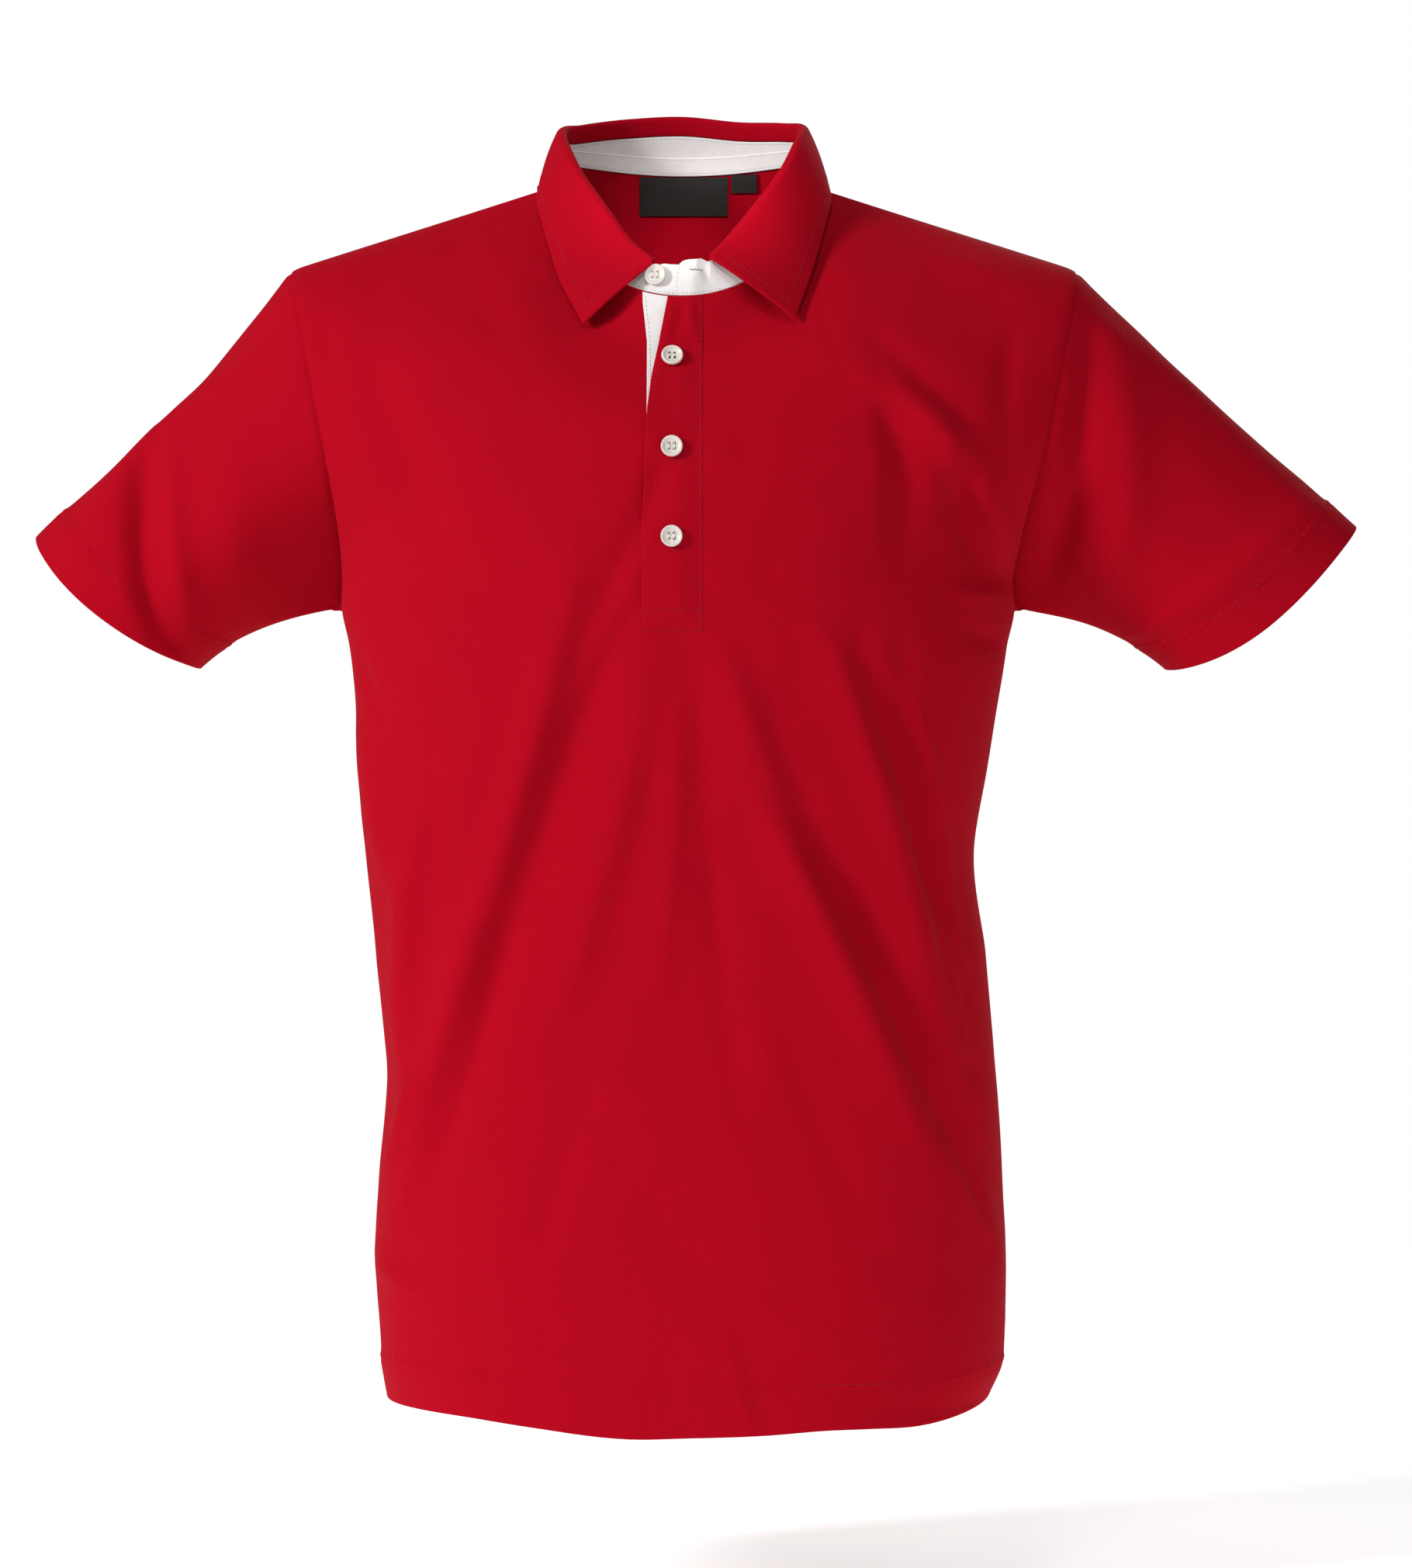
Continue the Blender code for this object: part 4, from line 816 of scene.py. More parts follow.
def body_and_sleeves(finish):
    front = folded_panel("front")
    back = folded_panel("back")
    sleeves = {c.name: folded_sleeve(c, armhole(front, back, c.side)) for c in CUFFS}
    front_normals = grid_normals(front, panel_outward(front))
    back_normals = grid_normals(back, panel_outward(back))
    last = front.shape[1] - 1
    under = ROWS_OVER_UNDERARM * FINE
    shoulder = SHOULDER_COLUMNS * FINE
    for column in (0, last):
        share(front_normals, np.s_[under:, column], back_normals, np.s_[under:, column])
    share(front_normals, np.s_[0, : shoulder + 1], back_normals, np.s_[0, : shoulder + 1])
    share(front_normals, np.s_[0, last - shoulder :], back_normals, np.s_[0, last - shoulder :])
    sleeve_normals = {}
    for cuff in CUFFS:
        points = sleeves[cuff.name]
        normals = grid_normals(points, sleeve_outward(points), ring=True)
        column = 0 if cuff.side < 0 else last
        ring = armhole(front_normals, back_normals, cuff.side)
        both = unit(ring + normals[0])
        normals[0] = both
        front_normals[: under + 1, column] = both[: under + 1]
        back_normals[1:under, column] = both[under + 1 :][::-1]
        back_normals[0, column] = both[0]
        back_normals[under, column] = both[under]
        sleeve_normals[cuff.name] = normals

    # The slit for the placket is left open.
    slit = np.zeros((front.shape[0] - 1, last), bool)
    middle = (NECK_COLUMNS + SHOULDER_COLUMNS) * FINE
    slit[:under, middle : middle + FINE] = True
    pieces = {}
    for name, points, normals, stitch, skip in (
        ("front_body", front, front_normals, HEM_STITCH, slit),
        ("back_body", back, back_normals, HEM_STITCH, None),
        *((name, sleeves[name], sleeve_normals[name], CUFF_STITCH, None) for name in sleeves),
    ):
        ring = name in sleeves
        from_hem = from_last(points)
        full = CLOTH + (HEM_CLOTH - CLOTH) * (from_hem < stitch + 0.002)
        surface = points - 0.5 * CLOTH * normals
        thick = thickness(from_hem, full)
        uv = cloth_map(points, ring)
        made = wall(name + "_cloth", surface, normals, thick, finish, uv, ring, skip)
        pieces[name] = (made, points, normals)
    return pieces


def on_row(points, i, x):
    return sampled(x, points[i, :, 0], points[i])


def layer(pieces, lefts, rights, foot_row, steps):
    """Points and normals over the front panel, from the neckline down, between two side lines."""
    _, points, normals = pieces["front_body"]
    grid = []
    for i in range(foot_row + 1):
        xs = lefts[i] + (rights[i] - lefts[i]) * steps
        across = points[i, :, 0]
        turned = unit(sampled(xs, across, normals[i]))
        grid.append(np.stack([sampled(xs, across, points[i]), turned]))
    grid = np.array(grid)
    return grid[:, 0], grid[:, 1]


def plackets(pieces, red, white):
    """The under placket, and over it the upper one, which swings open towards the neck.

    Both are sewn in at their right side and foot, where they lie level with the panel.
    """
    points = pieces["front_body"][1]
    foot = (ROWS_OVER_UNDERARM + 1) * FINE
    heights = np.array([on_row(points, i, 0)[2] for i in range(foot + 1)])
    right = np.full(foot + 1, PLACKET_RIGHT)
    left = np.interp(heights, *zip(*UNDER_EDGE))
    swing = np.interp(heights, *zip(*UPPER_EDGE))
    steps = np.sort(np.concatenate([np.linspace(0, 1, 57), [0.004, 0.010, 0.990, 0.996]]))
    made = []
    low_row = ROWS_OVER_UNDERARM * FINE
    over = 2 * PLACKET_GAP + UNDER_CLOTH
    for name, lefts, rights, last, base, thick, finish in (
        ("placket_under", left, right - UNDER_INSET, low_row, PLACKET_GAP, UNDER_CLOTH, white),
        ("placket_top", swing, right, foot, over, PLACKET_CLOTH, red),
    ):
        surface, normals = layer(pieces, lefts, rights, last, steps)
        is_upper = name == "placket_top"
        from_foot = from_last(surface)
        from_right = (1 - steps)[None, :] * (rights - lefts)[: last + 1, None]
        sewn = np.minimum(from_right, from_foot) if is_upper else from_right
        sewn = eased(np.clip(sewn / PLACKET_SINK_WIDTH, 0, 1))
        height = base + 0.5 * thick - (1 - sewn) * (over + PLACKET_CLOTH - PLACKET_PROUD)
        for fold in PLACKET_CREASES if is_upper else ():
            height = height + fold_height(fold, surface[..., [0, 2]])
        surface = surface + height[..., None] * normals
        from_side = np.minimum(steps, 1 - steps)[None, :] * (rights - lefts)[: last + 1, None]
        edge = np.minimum(from_side, from_foot)
        normals = grid_normals(surface, np.array([0, -1.0, 0]))
        cloth = thickness(edge, thick)
        piece = wall(name + "_cloth", surface, normals, cloth, finish, cloth_map(surface))
        made.append((piece, surface, normals))
    return made


def neck_seam(pieces, at):
    """Points of the neck seam at stations from -1 to 1, the wearer's right to left."""
    top, _, neck = columns()
    open_columns = np.abs(top) <= neck * 1.0001
    turn = np.arcsin(np.clip(top[open_columns] / neck, -1, 1)) / np.pi
    back = pieces["back_body"][1][0][open_columns]
    front = pieces["front_body"][1][0][open_columns]
    front_at = np.where(turn >= 0, 1 - turn, -1 - turn)
    stations = np.concatenate([turn, front_at[1:-1]])
    points = np.concatenate([back, front[1:-1]])
    return sampled(at, stations, points, period=2)


def collar_line(name, at):
    knots = [row.at for row in COLLAR_STATIONS]
    return smooth(at, knots, [getattr(row, name) for row in COLLAR_STATIONS])


def collar_frame(pieces, at):
    """At each station: the seam, the stand's top edge, the fold, and the ways outwards and up."""
    last = COLLAR_STATIONS[-1].at
    held = np.clip(at, -last, last)
    fold = collar_line("fold", held)
    outward = unit(fold * np.array([1, 1, 0]) - np.array([0, -0.010, 0]))
    leg = fold - outward * COLLAR_FOLD_RADIUS
    rise = leg - neck_seam(pieces, held)
    forward = np.clip((np.abs(held) - LIP_TAPER) / (last - LIP_TAPER), 0, 1)
    lip = COLLAR_LIP_BACK + (COLLAR_LIP_FRONT - COLLAR_LIP_BACK) * forward
    height = np.linalg.norm(rise, axis=-1)
    seam = neck_seam(pieces, at)
    top = seam + rise * ((height - lip) / height)[:, None]
    return seam, top, fold, outward, unit(rise)


def push_out(points, pieces, clearance):
    """Moves points that lie nearer than the clearance to the outside of the panels."""
    trees = []
    for name in ("front_body", "back_body"):
        _, outer, normals = pieces[name]
        kept = np.s_[: ROWS_OVER_UNDERARM * FINE + 1 : 2]
        outer, normals = outer[kept], normals[kept]
        count = outer.shape[1]
        faces = [
            (i * count + j, (i + 1) * count + j, (i + 1) * count + j + 1, i * count + j + 1)
            for i in range(outer.shape[0] - 1)
            for j in range(count - 1)
        ]
        tree = BVHTree.FromPolygons([tuple(p) for p in outer.reshape(-1, 3)], faces)
        trees.append((tree, normals.reshape(-1, 3), faces))
    for index in np.ndindex(points.shape[:-1]):
        for tree, normals, faces in trees:
            place, _, face, _ = tree.find_nearest(Vector(points[index]))
            normal = unit(normals[list(faces[face])].mean(axis=0))
            away = points[index] - np.array(place)
            height = float(away @ normal)
            over_it = np.linalg.norm(away - height * normal) < clearance
            if over_it and height < clearance:
                points[index] += (clearance - height) * normal
    return points


def collar(pieces, red, white):
    """The fall, folded over the stand, the stand itself and the tape over the back neck seam."""
    last = COLLAR_STATIONS[-1].at
    at = np.linspace(-last, last, COLLAR_COLUMNS * 4 + 1)
    ends = last - np.array([0.0006, 0.0018, 0.004, 0.007])
    at = np.sort(np.concatenate([at, ends, -ends]))
    _, top, fold, outward, up = collar_frame(pieces, at)
    edge = collar_line("edge", at)
    radius = COLLAR_FOLD_RADIUS
    crown = fold - up * radius
    lip_foot = top + up * SEAM_GAP
    lip_head = crown - outward * radius
    lines = [lip_foot + (lip_head - lip_foot) * t for t in (0, 0.03, 0.08, 0.3, 0.6, 1)]
    for degrees in range(20, 180, 20):
        turn = np.radians(degrees)
        lines.append(crown + radius * (-np.cos(turn) * outward + np.sin(turn) * up))
    over = len(lines) + 1
    start = crown + outward * radius
    control = 0.5 * (start + edge) + outward * FALL_BULGE + np.array([0, 0, 0.5 * FALL_BULGE])
    for t in np.concatenate([np.linspace(0, 0.96, 31), [0.975, 0.987, 0.995, 1.0]]):
        lines.append((1 - t) ** 2 * start + 2 * t * (1 - t) * control + t**2 * edge)
    grid = np.array(lines)
    grid[over:] = push_out(grid[over:], pieces, COLLAR_CLEARANCE)
    inside = (fold - up * 0.012)[None, :, :]
    normals = grid_normals(grid, grid - inside)
    near = np.minimum(from_nearer(grid, 0), from_nearer(grid, 1))
    fall = wall("collar_fall_cloth", grid, normals, thickness(near, RIB), red, cloth_map(grid))

    fine = 28
    right_end = np.linspace(STAND_START - STAND_UNDER, -last, fine + 1)[:-1]
    left_end = np.linspace(last, STAND_FINISH, fine + 1)[1:]
    stations = np.concatenate([right_end, at, left_end])
    seam, top, _, outward, up = collar_frame(pieces, stations)
    past = np.clip((np.abs(stations) - last) / (0.4 * (1 - last)), 0, 1)
    left = np.clip((STAND_FINISH - stations) / STAND_ROUNDING, 0, 1)
    crest = 1 + STAND_CREST * eased(past)
    rounded = STAND_END + (1 - STAND_END) * np.sqrt(1 - (1 - left) ** 2)
    share_of_height = crest * rounded
    foot = seam + up * 2 * SEAM_GAP - outward * (0.5 * TWILL + SEAM_GAP)
    lap = eased(np.clip((stations - last) / (STAND_LAPPED - last), 0, 1))[:, None]
    lapped = STAND_LAP * lap * outward
    lean = STAND_LEAN * lap**2 * np.array([1, 0, 0])
    heights = np.concatenate([[1.0, 0.985, 0.96], np.linspace(0.92, 0.08, 15), [0.04, 0.015, 0]])
    band = np.array(
        [foot + (top - foot) * (share_of_height * k)[:, None] + lapped + lean * k for k in heights]
    )
    band_normals = grid_normals(band, outward[None, :, :])
    for crease in STAND_CREASES:
        height = fold_height(crease, band[..., [0, 2]]) * (band[..., 1] < 0)
        band = band + height[..., None] * band_normals
    band_normals = grid_normals(band, outward[None, :, :])
    cloth = thickness(from_nearer(band, 0), TWILL)
    stand = wall("collar_stand_cloth", band, band_normals, cloth, white, cloth_map(band))

    behind = np.abs(stations) < TAPE_END
    lift = 0.5 * (TWILL + TAPE_CLOTH) + 0.0001
    drop = TAPE_DROP * (1 - (stations / TAPE_END) ** 2)
    low = foot - drop[:, None] * np.array([0, 0, 1]) - band_normals[-1] * (lift + LAYER_GAP)
    high = foot + up * TAPE_RISE - band_normals[-7] * (lift - 0.0003)
    tape = np.array([high + (low - high) * t for t in (0, 0.03, 0.1, 0.3, 0.5, 0.7, 0.9, 0.97, 1)])
    tape = tape[:, behind]
    tape_normals = grid_normals(tape, outward[behind][None, :, :])
    cloth = thickness(from_nearer(tape, 0), TAPE_CLOTH)
    tape_piece = wall("neck_tape_cloth", tape, tape_normals, cloth, white, cloth_map(tape))
    return {
        "collar_fall": (fall, grid, normals),
        "collar_stand": (stand, band, band_normals),
        "neck_tape": (tape_piece, tape, tape_normals),
    }


def labels(pieces, black):
    """The labels lie on the inside of the back panel, below the tape."""
    _, outer, normals = pieces["back_body"]
    inner = outer - CLOTH * normals
    down = np.linspace(0, 1, 16)
    made = {}
    for label in LABELS:
        xs = np.linspace(label.left, label.right, 25)
        grid = np.zeros((len(down), len(xs), 3))
        for j, x in enumerate(xs):
            line = np.array([on_row(inner, i, x) for i in range(ROWS_OVER_UNDERARM * FINE)])
            z = label.top + (label.foot - label.top) * down
            y = np.interp(-z, -line[:, 2], line[:, 1])
            grid[:, j] = np.stack([np.full(len(down), x), y, z], axis=-1)
        normal = grid_normals(grid, np.array([0, 1.0, 0]))
        middle = grid - (LABEL_GAP + 0.5 * TWILL) * normal
        piece = wall(label.name + "_cloth", middle, normal, TWILL, black, cloth_map(middle))
        made[label.name] = (piece, middle, normal)
    return made


def linear(hex_colour):
    """An sRGB hex colour as linear light."""
    channels = [int(hex_colour[k : k + 2], 16) / 255 for k in (0, 2, 4)]
    light = [c / 12.92 if c <= 0.04045 else ((c + 0.055) / 1.055) ** 2.4 for c in channels]
    return (*light, 1.0)


def add(tree, kind, inputs=None, **settings):
    """Adds a node: inputs are values or another node's socket, and settings are its properties."""
    made = tree.nodes.new(kind)
    for name, value in settings.items():
        setattr(made, name, value)
    for key, value in (inputs or {}).items():
        if isinstance(value, bpy.types.NodeSocket):
            tree.links.new(value, made.inputs[key])
        else:
            made.inputs[key].default_value = value
    return made


def finish(name, values):
    """A material, its tree and its shader, with the values that are the same all over."""
    made = bpy.data.materials.new(name)
    made.use_nodes = True
    shader = made.node_tree.nodes["Principled BSDF"]
    for key, value in values.items():
        shader.inputs[key].default_value = value
    return made, made.node_tree, shader


def weave(tree, shader, tone, height, strength, distance):
    """Colours the shader and raises its weave."""
    tree.links.new(tone, shader.inputs["Base Color"])
    relief = {"Strength": strength, "Distance": distance, "Height": height}
    raised = add(tree, "ShaderNodeBump", relief).outputs[0]
    tree.links.new(raised, shader.inputs["Normal"])


def pique():
    """Fine cotton pique, dyed in the piece: matt, with small raised cells and a faint nap, and
    painted shade in the grooves between the cells.
    """
    values = {
        "Roughness": 0.88,
        "Specular IOR Level": 0.07,
        "Sheen Weight": 0.025,
        "Sheen Roughness": 0.35,
        "Sheen Tint": linear("ff8496"),
    }
    made, tree, shader = finish("red_pique_knit", values)
    place = add(tree, "ShaderNodeUVMap", uv_map="cloth").outputs["UV"]
    # Cells of 1.3 mm, a little coarser than the knit, so that they show
    scaled = add(tree, "ShaderNodeMapping", {"Vector": place, "Scale": (770, 770, 1)}).outputs[0]
    parts = add(tree, "ShaderNodeSeparateXYZ", {0: scaled}).outputs
    math = "ShaderNodeMath"
    waves = {}
    for key, operation in enumerate(("ADD", "SUBTRACT")):
        total = add(tree, math, {0: parts[0], 1: parts[1]}, operation=operation).outputs[0]
        turned = add(tree, math, {0: total, 1: 3.14159}, operation="MULTIPLY").outputs[0]
        wave = add(tree, math, {0: turned}, operation="SINE").outputs[0]
        waves[key] = add(tree, math, {0: wave}, operation="ABSOLUTE").outputs[0]
    cells = add(tree, math, waves, operation="MULTIPLY").outputs[0]
    fine = {"Vector": place, "Scale": 900.0, "Detail": 3.0}
    nap = add(tree, "ShaderNodeTexNoise", fine).outputs["Fac"]
    coarse = {"Vector": place, "Scale": 26.0, "Detail": 4.0}
    broad = add(tree, "ShaderNodeTexNoise", coarse).outputs["Fac"]
    tones = {0: broad, 1: linear("ae0019"), 2: linear("b8001d")}
    tone = add(tree, "ShaderNodeMixRGB", tones).outputs[0]
    # Painted shade: the grooves between the raised cells are mixed towards the darker 9e0016.
    groove_shaded_tone = add(tree, "ShaderNodeMixRGB", {0: cells, 1: linear("9e0016"), 2: tone}).outputs[0]
    height = add(tree, math, {0: nap, 1: 0.5}, operation="MULTIPLY").outputs[0]
    height = add(tree, math, {0: height, 1: cells}, operation="ADD").outputs[0]
    weave(tree, shader, groove_shaded_tone, height, 0.35, 0.00025)
    return made


def twill():
    """Fine white cotton twill: matt, with a faint diagonal rib."""
    values = {"Roughness": 0.8, "Specular IOR Level": 0.25, "Sheen Weight": 0.08}
    made, tree, shader = finish("white_cotton_twill", values)
    place = add(tree, "ShaderNodeUVMap", uv_map="cloth").outputs["UV"]
    # Ribs 0.8 mm apart, coarser than the real 0.4 mm, so that they show
    slanted = {"Vector": place, "Rotation": (0, 0, 0.8), "Scale": (1250, 1250, 1)}
    turned = add(tree, "ShaderNodeMapping", slanted).outputs[0]
    ribs = {"Vector": turned, "Scale": 0.16, "Distortion": 0.6}
    rib = add(tree, "ShaderNodeTexWave", ribs).outputs["Fac"]
    clouds = {"Vector": place, "Scale": 160.0, "Detail": 4.0}
    mottle = add(tree, "ShaderNodeTexNoise", clouds).outputs["Fac"]
    tones = {0: mottle, 1: linear("dad5d4"), 2: linear("e8e6e4")}
    weave(tree, shader, add(tree, "ShaderNodeMixRGB", tones).outputs[0], rib, 0.25, 0.0001)
    return made


def satin():
    """Black woven satin of a bare label: fine ribs with a dull shine, and painted shade in the
    grooves between the ribs.
    """
    values = {"Roughness": 0.5, "Specular IOR Level": 0.4}
    made, tree, shader = finish("black_label_satin", values)
    place = add(tree, "ShaderNodeUVMap", uv_map="cloth").outputs["UV"]
    across = {"Vector": place, "Scale": 380.0, "Distortion": 0.3}
    ribs = add(tree, "ShaderNodeTexWave", across, bands_direction="Y").outputs["Fac"]
    # Painted shade: the tone darkens towards 1a1917 in the grooves between the ribs, where the bump
    # sinks them.
    tones = {0: ribs, 1: linear("1a1917"), 2: linear("272523")}
    weave(tree, shader, add(tree, "ShaderNodeMixRGB", tones).outputs[0], ribs, 0.3, 0.0001)
    return made


def pearl():
    """Pearly polyester of the buttons: moulded, smooth and slightly clouded."""
    values = {"Roughness": 0.28, "Coat Weight": 0.4, "Coat Roughness": 0.15}
    made, tree, shader = finish("pearl_polyester", values)
    place = add(tree, "ShaderNodeTexCoord").outputs["Object"]
    clouds = {"Vector": place, "Scale": 240.0, "Detail": 3.0}
    cloud = add(tree, "ShaderNodeTexNoise", clouds).outputs["Fac"]
    tones = {0: cloud, 1: linear("cbc2b9"), 2: linear("e5e0d7")}
    tree.links.new(add(tree, "ShaderNodeMixRGB", tones).outputs[0], shader.inputs["Base Color"])
    return made


def thread(name, colour):
    """Spun polyester sewing thread."""
    made, tree, shader = finish(name, {"Roughness": 0.6})
    place = add(tree, "ShaderNodeTexCoord").outputs["Object"]
    fibre = add(tree, "ShaderNodeTexNoise", {"Vector": place, "Scale": 3000.0}).outputs["Fac"]
    darker = tuple(0.8 * c for c in linear(colour)[:3]) + (1.0,)
    tone = add(tree, "ShaderNodeMixRGB", {0: fibre, 1: darker, 2: linear(colour)}).outputs[0]
    tree.links.new(tone, shader.inputs["Base Color"])
    return made


def stitch_tree():
    """Stitches that follow lines: each an oval bead of thread lying along the line on the cloth."""
    tree = bpy.data.node_groups.new("stitches_along_lines", "GeometryNodeTree")
    for name, way, kind in (
        ("Geometry", "INPUT", "Geometry"),
        ("Pitch", "INPUT", "Float"),
        ("Length", "INPUT", "Float"),
        ("Thickness", "INPUT", "Float"),
        ("Thread", "INPUT", "Material"),
        ("Geometry", "OUTPUT", "Geometry"),
    ):
        tree.interface.new_socket(name, in_out=way, socket_type="NodeSocket" + kind)
    given = add(tree, "NodeGroupInput").outputs
    line = add(tree, "GeometryNodeMeshToCurve", {"Mesh": given["Geometry"]}).outputs[0]
    spaced = {"Curve": line, "Length": given["Pitch"]}
    even = add(tree, "GeometryNodeResampleCurve", spaced, mode="LENGTH").outputs[0]
    oval = {"Segments": 6, "Rings": 4, "Radius": 0.5}
    bead = add(tree, "GeometryNodeMeshUVSphere", oval).outputs[0]
    sizes = {0: given["Length"], 1: given["Thickness"], 2: given["Thickness"]}
    size = add(tree, "ShaderNodeCombineXYZ", sizes).outputs[0]
    along = add(tree, "GeometryNodeInputTangent").outputs[0]
    held = {"Name": "cloth_normal"}
    up = add(tree, "GeometryNodeInputNamedAttribute", held, data_type="FLOAT_VECTOR")
    align = "FunctionNodeAlignRotationToVector"
    turned = add(tree, align, {"Vector": along}, axis="X").outputs[0]
    lifted = {"Rotation": turned, "Vector": up.outputs["Attribute"]}
    turned = add(tree, align, lifted, axis="Z", pivot_axis="X").outputs[0]
    row = {"Points": even, "Instance": bead, "Rotation": turned, "Scale": size}
    placed = add(tree, "GeometryNodeInstanceOnPoints", row).outputs[0]
    real = add(tree, "GeometryNodeRealizeInstances", {0: placed}).outputs[0]
    smoothed = add(tree, "GeometryNodeSetShadeSmooth", {"Geometry": real}).outputs[0]
    spun = {"Geometry": smoothed, "Material": given["Thread"]}
    add(tree, "NodeGroupOutput", {0: add(tree, "GeometryNodeSetMaterial", spun).outputs[0]})
    return tree


def stitches(name, lines, stitch, finish_of):
    """A piece of thread: lines are pairs of points and the cloth's normals along them."""
    points = np.concatenate([p for p, _ in lines])
    normals = np.concatenate([n for _, n in lines])
    edges = []
    start = 0
    for p, _ in lines:
        edges += [(start + k, start + k + 1) for k in range(len(p) - 1)]
        start += len(p)
    mesh = bpy.data.meshes.new(name + "_lines")
    mesh.from_pydata(points.tolist(), edges, [])
    held = mesh.attributes.new("cloth_normal", "FLOAT_VECTOR", "POINT")
    held.data.foreach_set("vector", normals.astype(np.float32).reshape(-1))
    guide = put(name + "_guide", mesh)
    modifier = guide.modifiers.new("stitches", "NODES")
    modifier.node_group = SEWING
    sockets = {s.name: s.identifier for s in SEWING.interface.items_tree if s.in_out == "INPUT"}
    for key, value in zip(("Pitch", "Length", "Thickness", "Thread"), (*stitch, finish_of)):
        modifier[sockets[key]] = value
    sewn = final_mesh(guide)
    bpy.data.objects.remove(guide, do_unlink=True)
    return put(name, sewn)


def offset_rows(grid, normals, distances, from_edge, lift=THREAD_LIFT, kept=None):
    """Lines along a grid at distances from its edge, over the columns that are kept."""
    lines = []
    for distance in distances:
        line = []
        turned = []
        for j in range(grid.shape[1]):
            if kept is not None and not kept[j]:
                continue
            order = np.argsort(from_edge[:, j])
            knots = from_edge[order, j]
            line.append(sampled(distance, knots, grid[order, j]))
            turned.append(sampled(distance, knots, normals[order, j]))
        turned = unit(np.array(turned))
        lines.append((np.array(line) + lift * turned, turned))
    return lines


def turned_grid(grid):
    return grid.transpose(1, 0, 2)


def sew_hem(pieces, name, inset, finish_of, ring=False):
    """Twin rows along a hem."""
    _, points, normals = pieces[name]
    rows_at = (inset - 0.5 * TWIN_ROWS, inset + 0.5 * TWIN_ROWS)
    lines = offset_rows(points, normals, rows_at, from_last(points))
    if ring:
        lines = [(np.concatenate([p, p[:1]]), np.concatenate([n, n[:1]])) for p, n in lines]
    return stitches(name + "_hem_stitches", lines, HEM_STITCHES, finish_of)


def sew_fall(piece, finish_of):
    """One row round the fall, along its lower edge and both ends."""
    _, grid, normals = piece
    lift = 0.5 * RIB
    from_edge = from_last(grid)
    kept = from_nearer(grid, 1)[-8] > FALL_STITCH
    lines = offset_rows(grid, normals, [FALL_STITCH], from_edge, lift, kept)
    across, across_normals = turned_grid(grid), turned_grid(normals)
    outer = (np.arange(grid.shape[0]) > FALL_START) & (from_edge[:, 0] > FALL_STITCH)
    for order in (np.s_[:], np.s_[::-1]):
        ends, turned = across[order], across_normals[order]
        lines += offset_rows(ends, turned, [FALL_STITCH], lengths(ends, 0), lift, outer)
    return stitches("collar_fall_stitches", lines, FALL_STITCHES, finish_of)


def sew_band(stand, tape, finish_of):
    """Rows that show on the white of the neck: inside the back, and round the stand's ends."""
    _, band, normals = stand
    lift = 0.5 * TWILL
    inset = [STAND_STITCH]
    behind = np.abs(np.linspace(-1, 1, band.shape[1])) < 0.5
    lines = offset_rows(band, -normals, inset, lengths(band, 0), lift, behind)
    _, strip, strip_normals = tape
    for distance, from_edge in (
        (TAPE_STITCH_TOP, lengths(strip, 0)),
        (TAPE_STITCH_FOOT, from_last(strip)),
    ):
        lines += offset_rows(strip, -strip_normals, [distance], from_edge, 0.5 * TAPE_CLOTH)
    reach = 0.030
    for from_end in (from_last(band, 1), lengths(band, 1)):
        lines += offset_rows(band, normals, inset, from_last(band), lift, from_end[-1] < reach)
    across, across_normals = turned_grid(band)[::-1], turned_grid(normals)[::-1]
    lines += offset_rows(across, across_normals, inset, lengths(across, 0), lift)
    return stitches("collar_stand_stitches", lines, BAND_STITCHES, finish_of)


def sew_plackets(upper, under, red, grey):
    """A row down the upper one's right side, two across its foot, and one down the under one."""
    _, surface, normals = upper
    lift = 0.5 * PLACKET_CLOTH
    lines = offset_rows(surface, normals, PLACKET_FOOT_ROWS, from_last(surface), lift)
    across, across_normals = turned_grid(surface)[::-1], turned_grid(normals)[::-1]
    lines += offset_rows(across, across_normals, [PLACKET_SIDE_ROW], lengths(across, 0), lift)
    on_top = stitches("placket_top_stitches", lines, UPPER_STITCHES, red)
    across, across_normals = turned_grid(under[1]), turned_grid(under[2])
    from_left = lengths(across, 0)
    lines = offset_rows(across, across_normals, [UNDER_SIDE_ROW], from_left, 0.5 * UNDER_CLOTH)
    below = stitches("placket_under_stitches", lines, UNDER_STITCHES, grey)
    return on_top, below


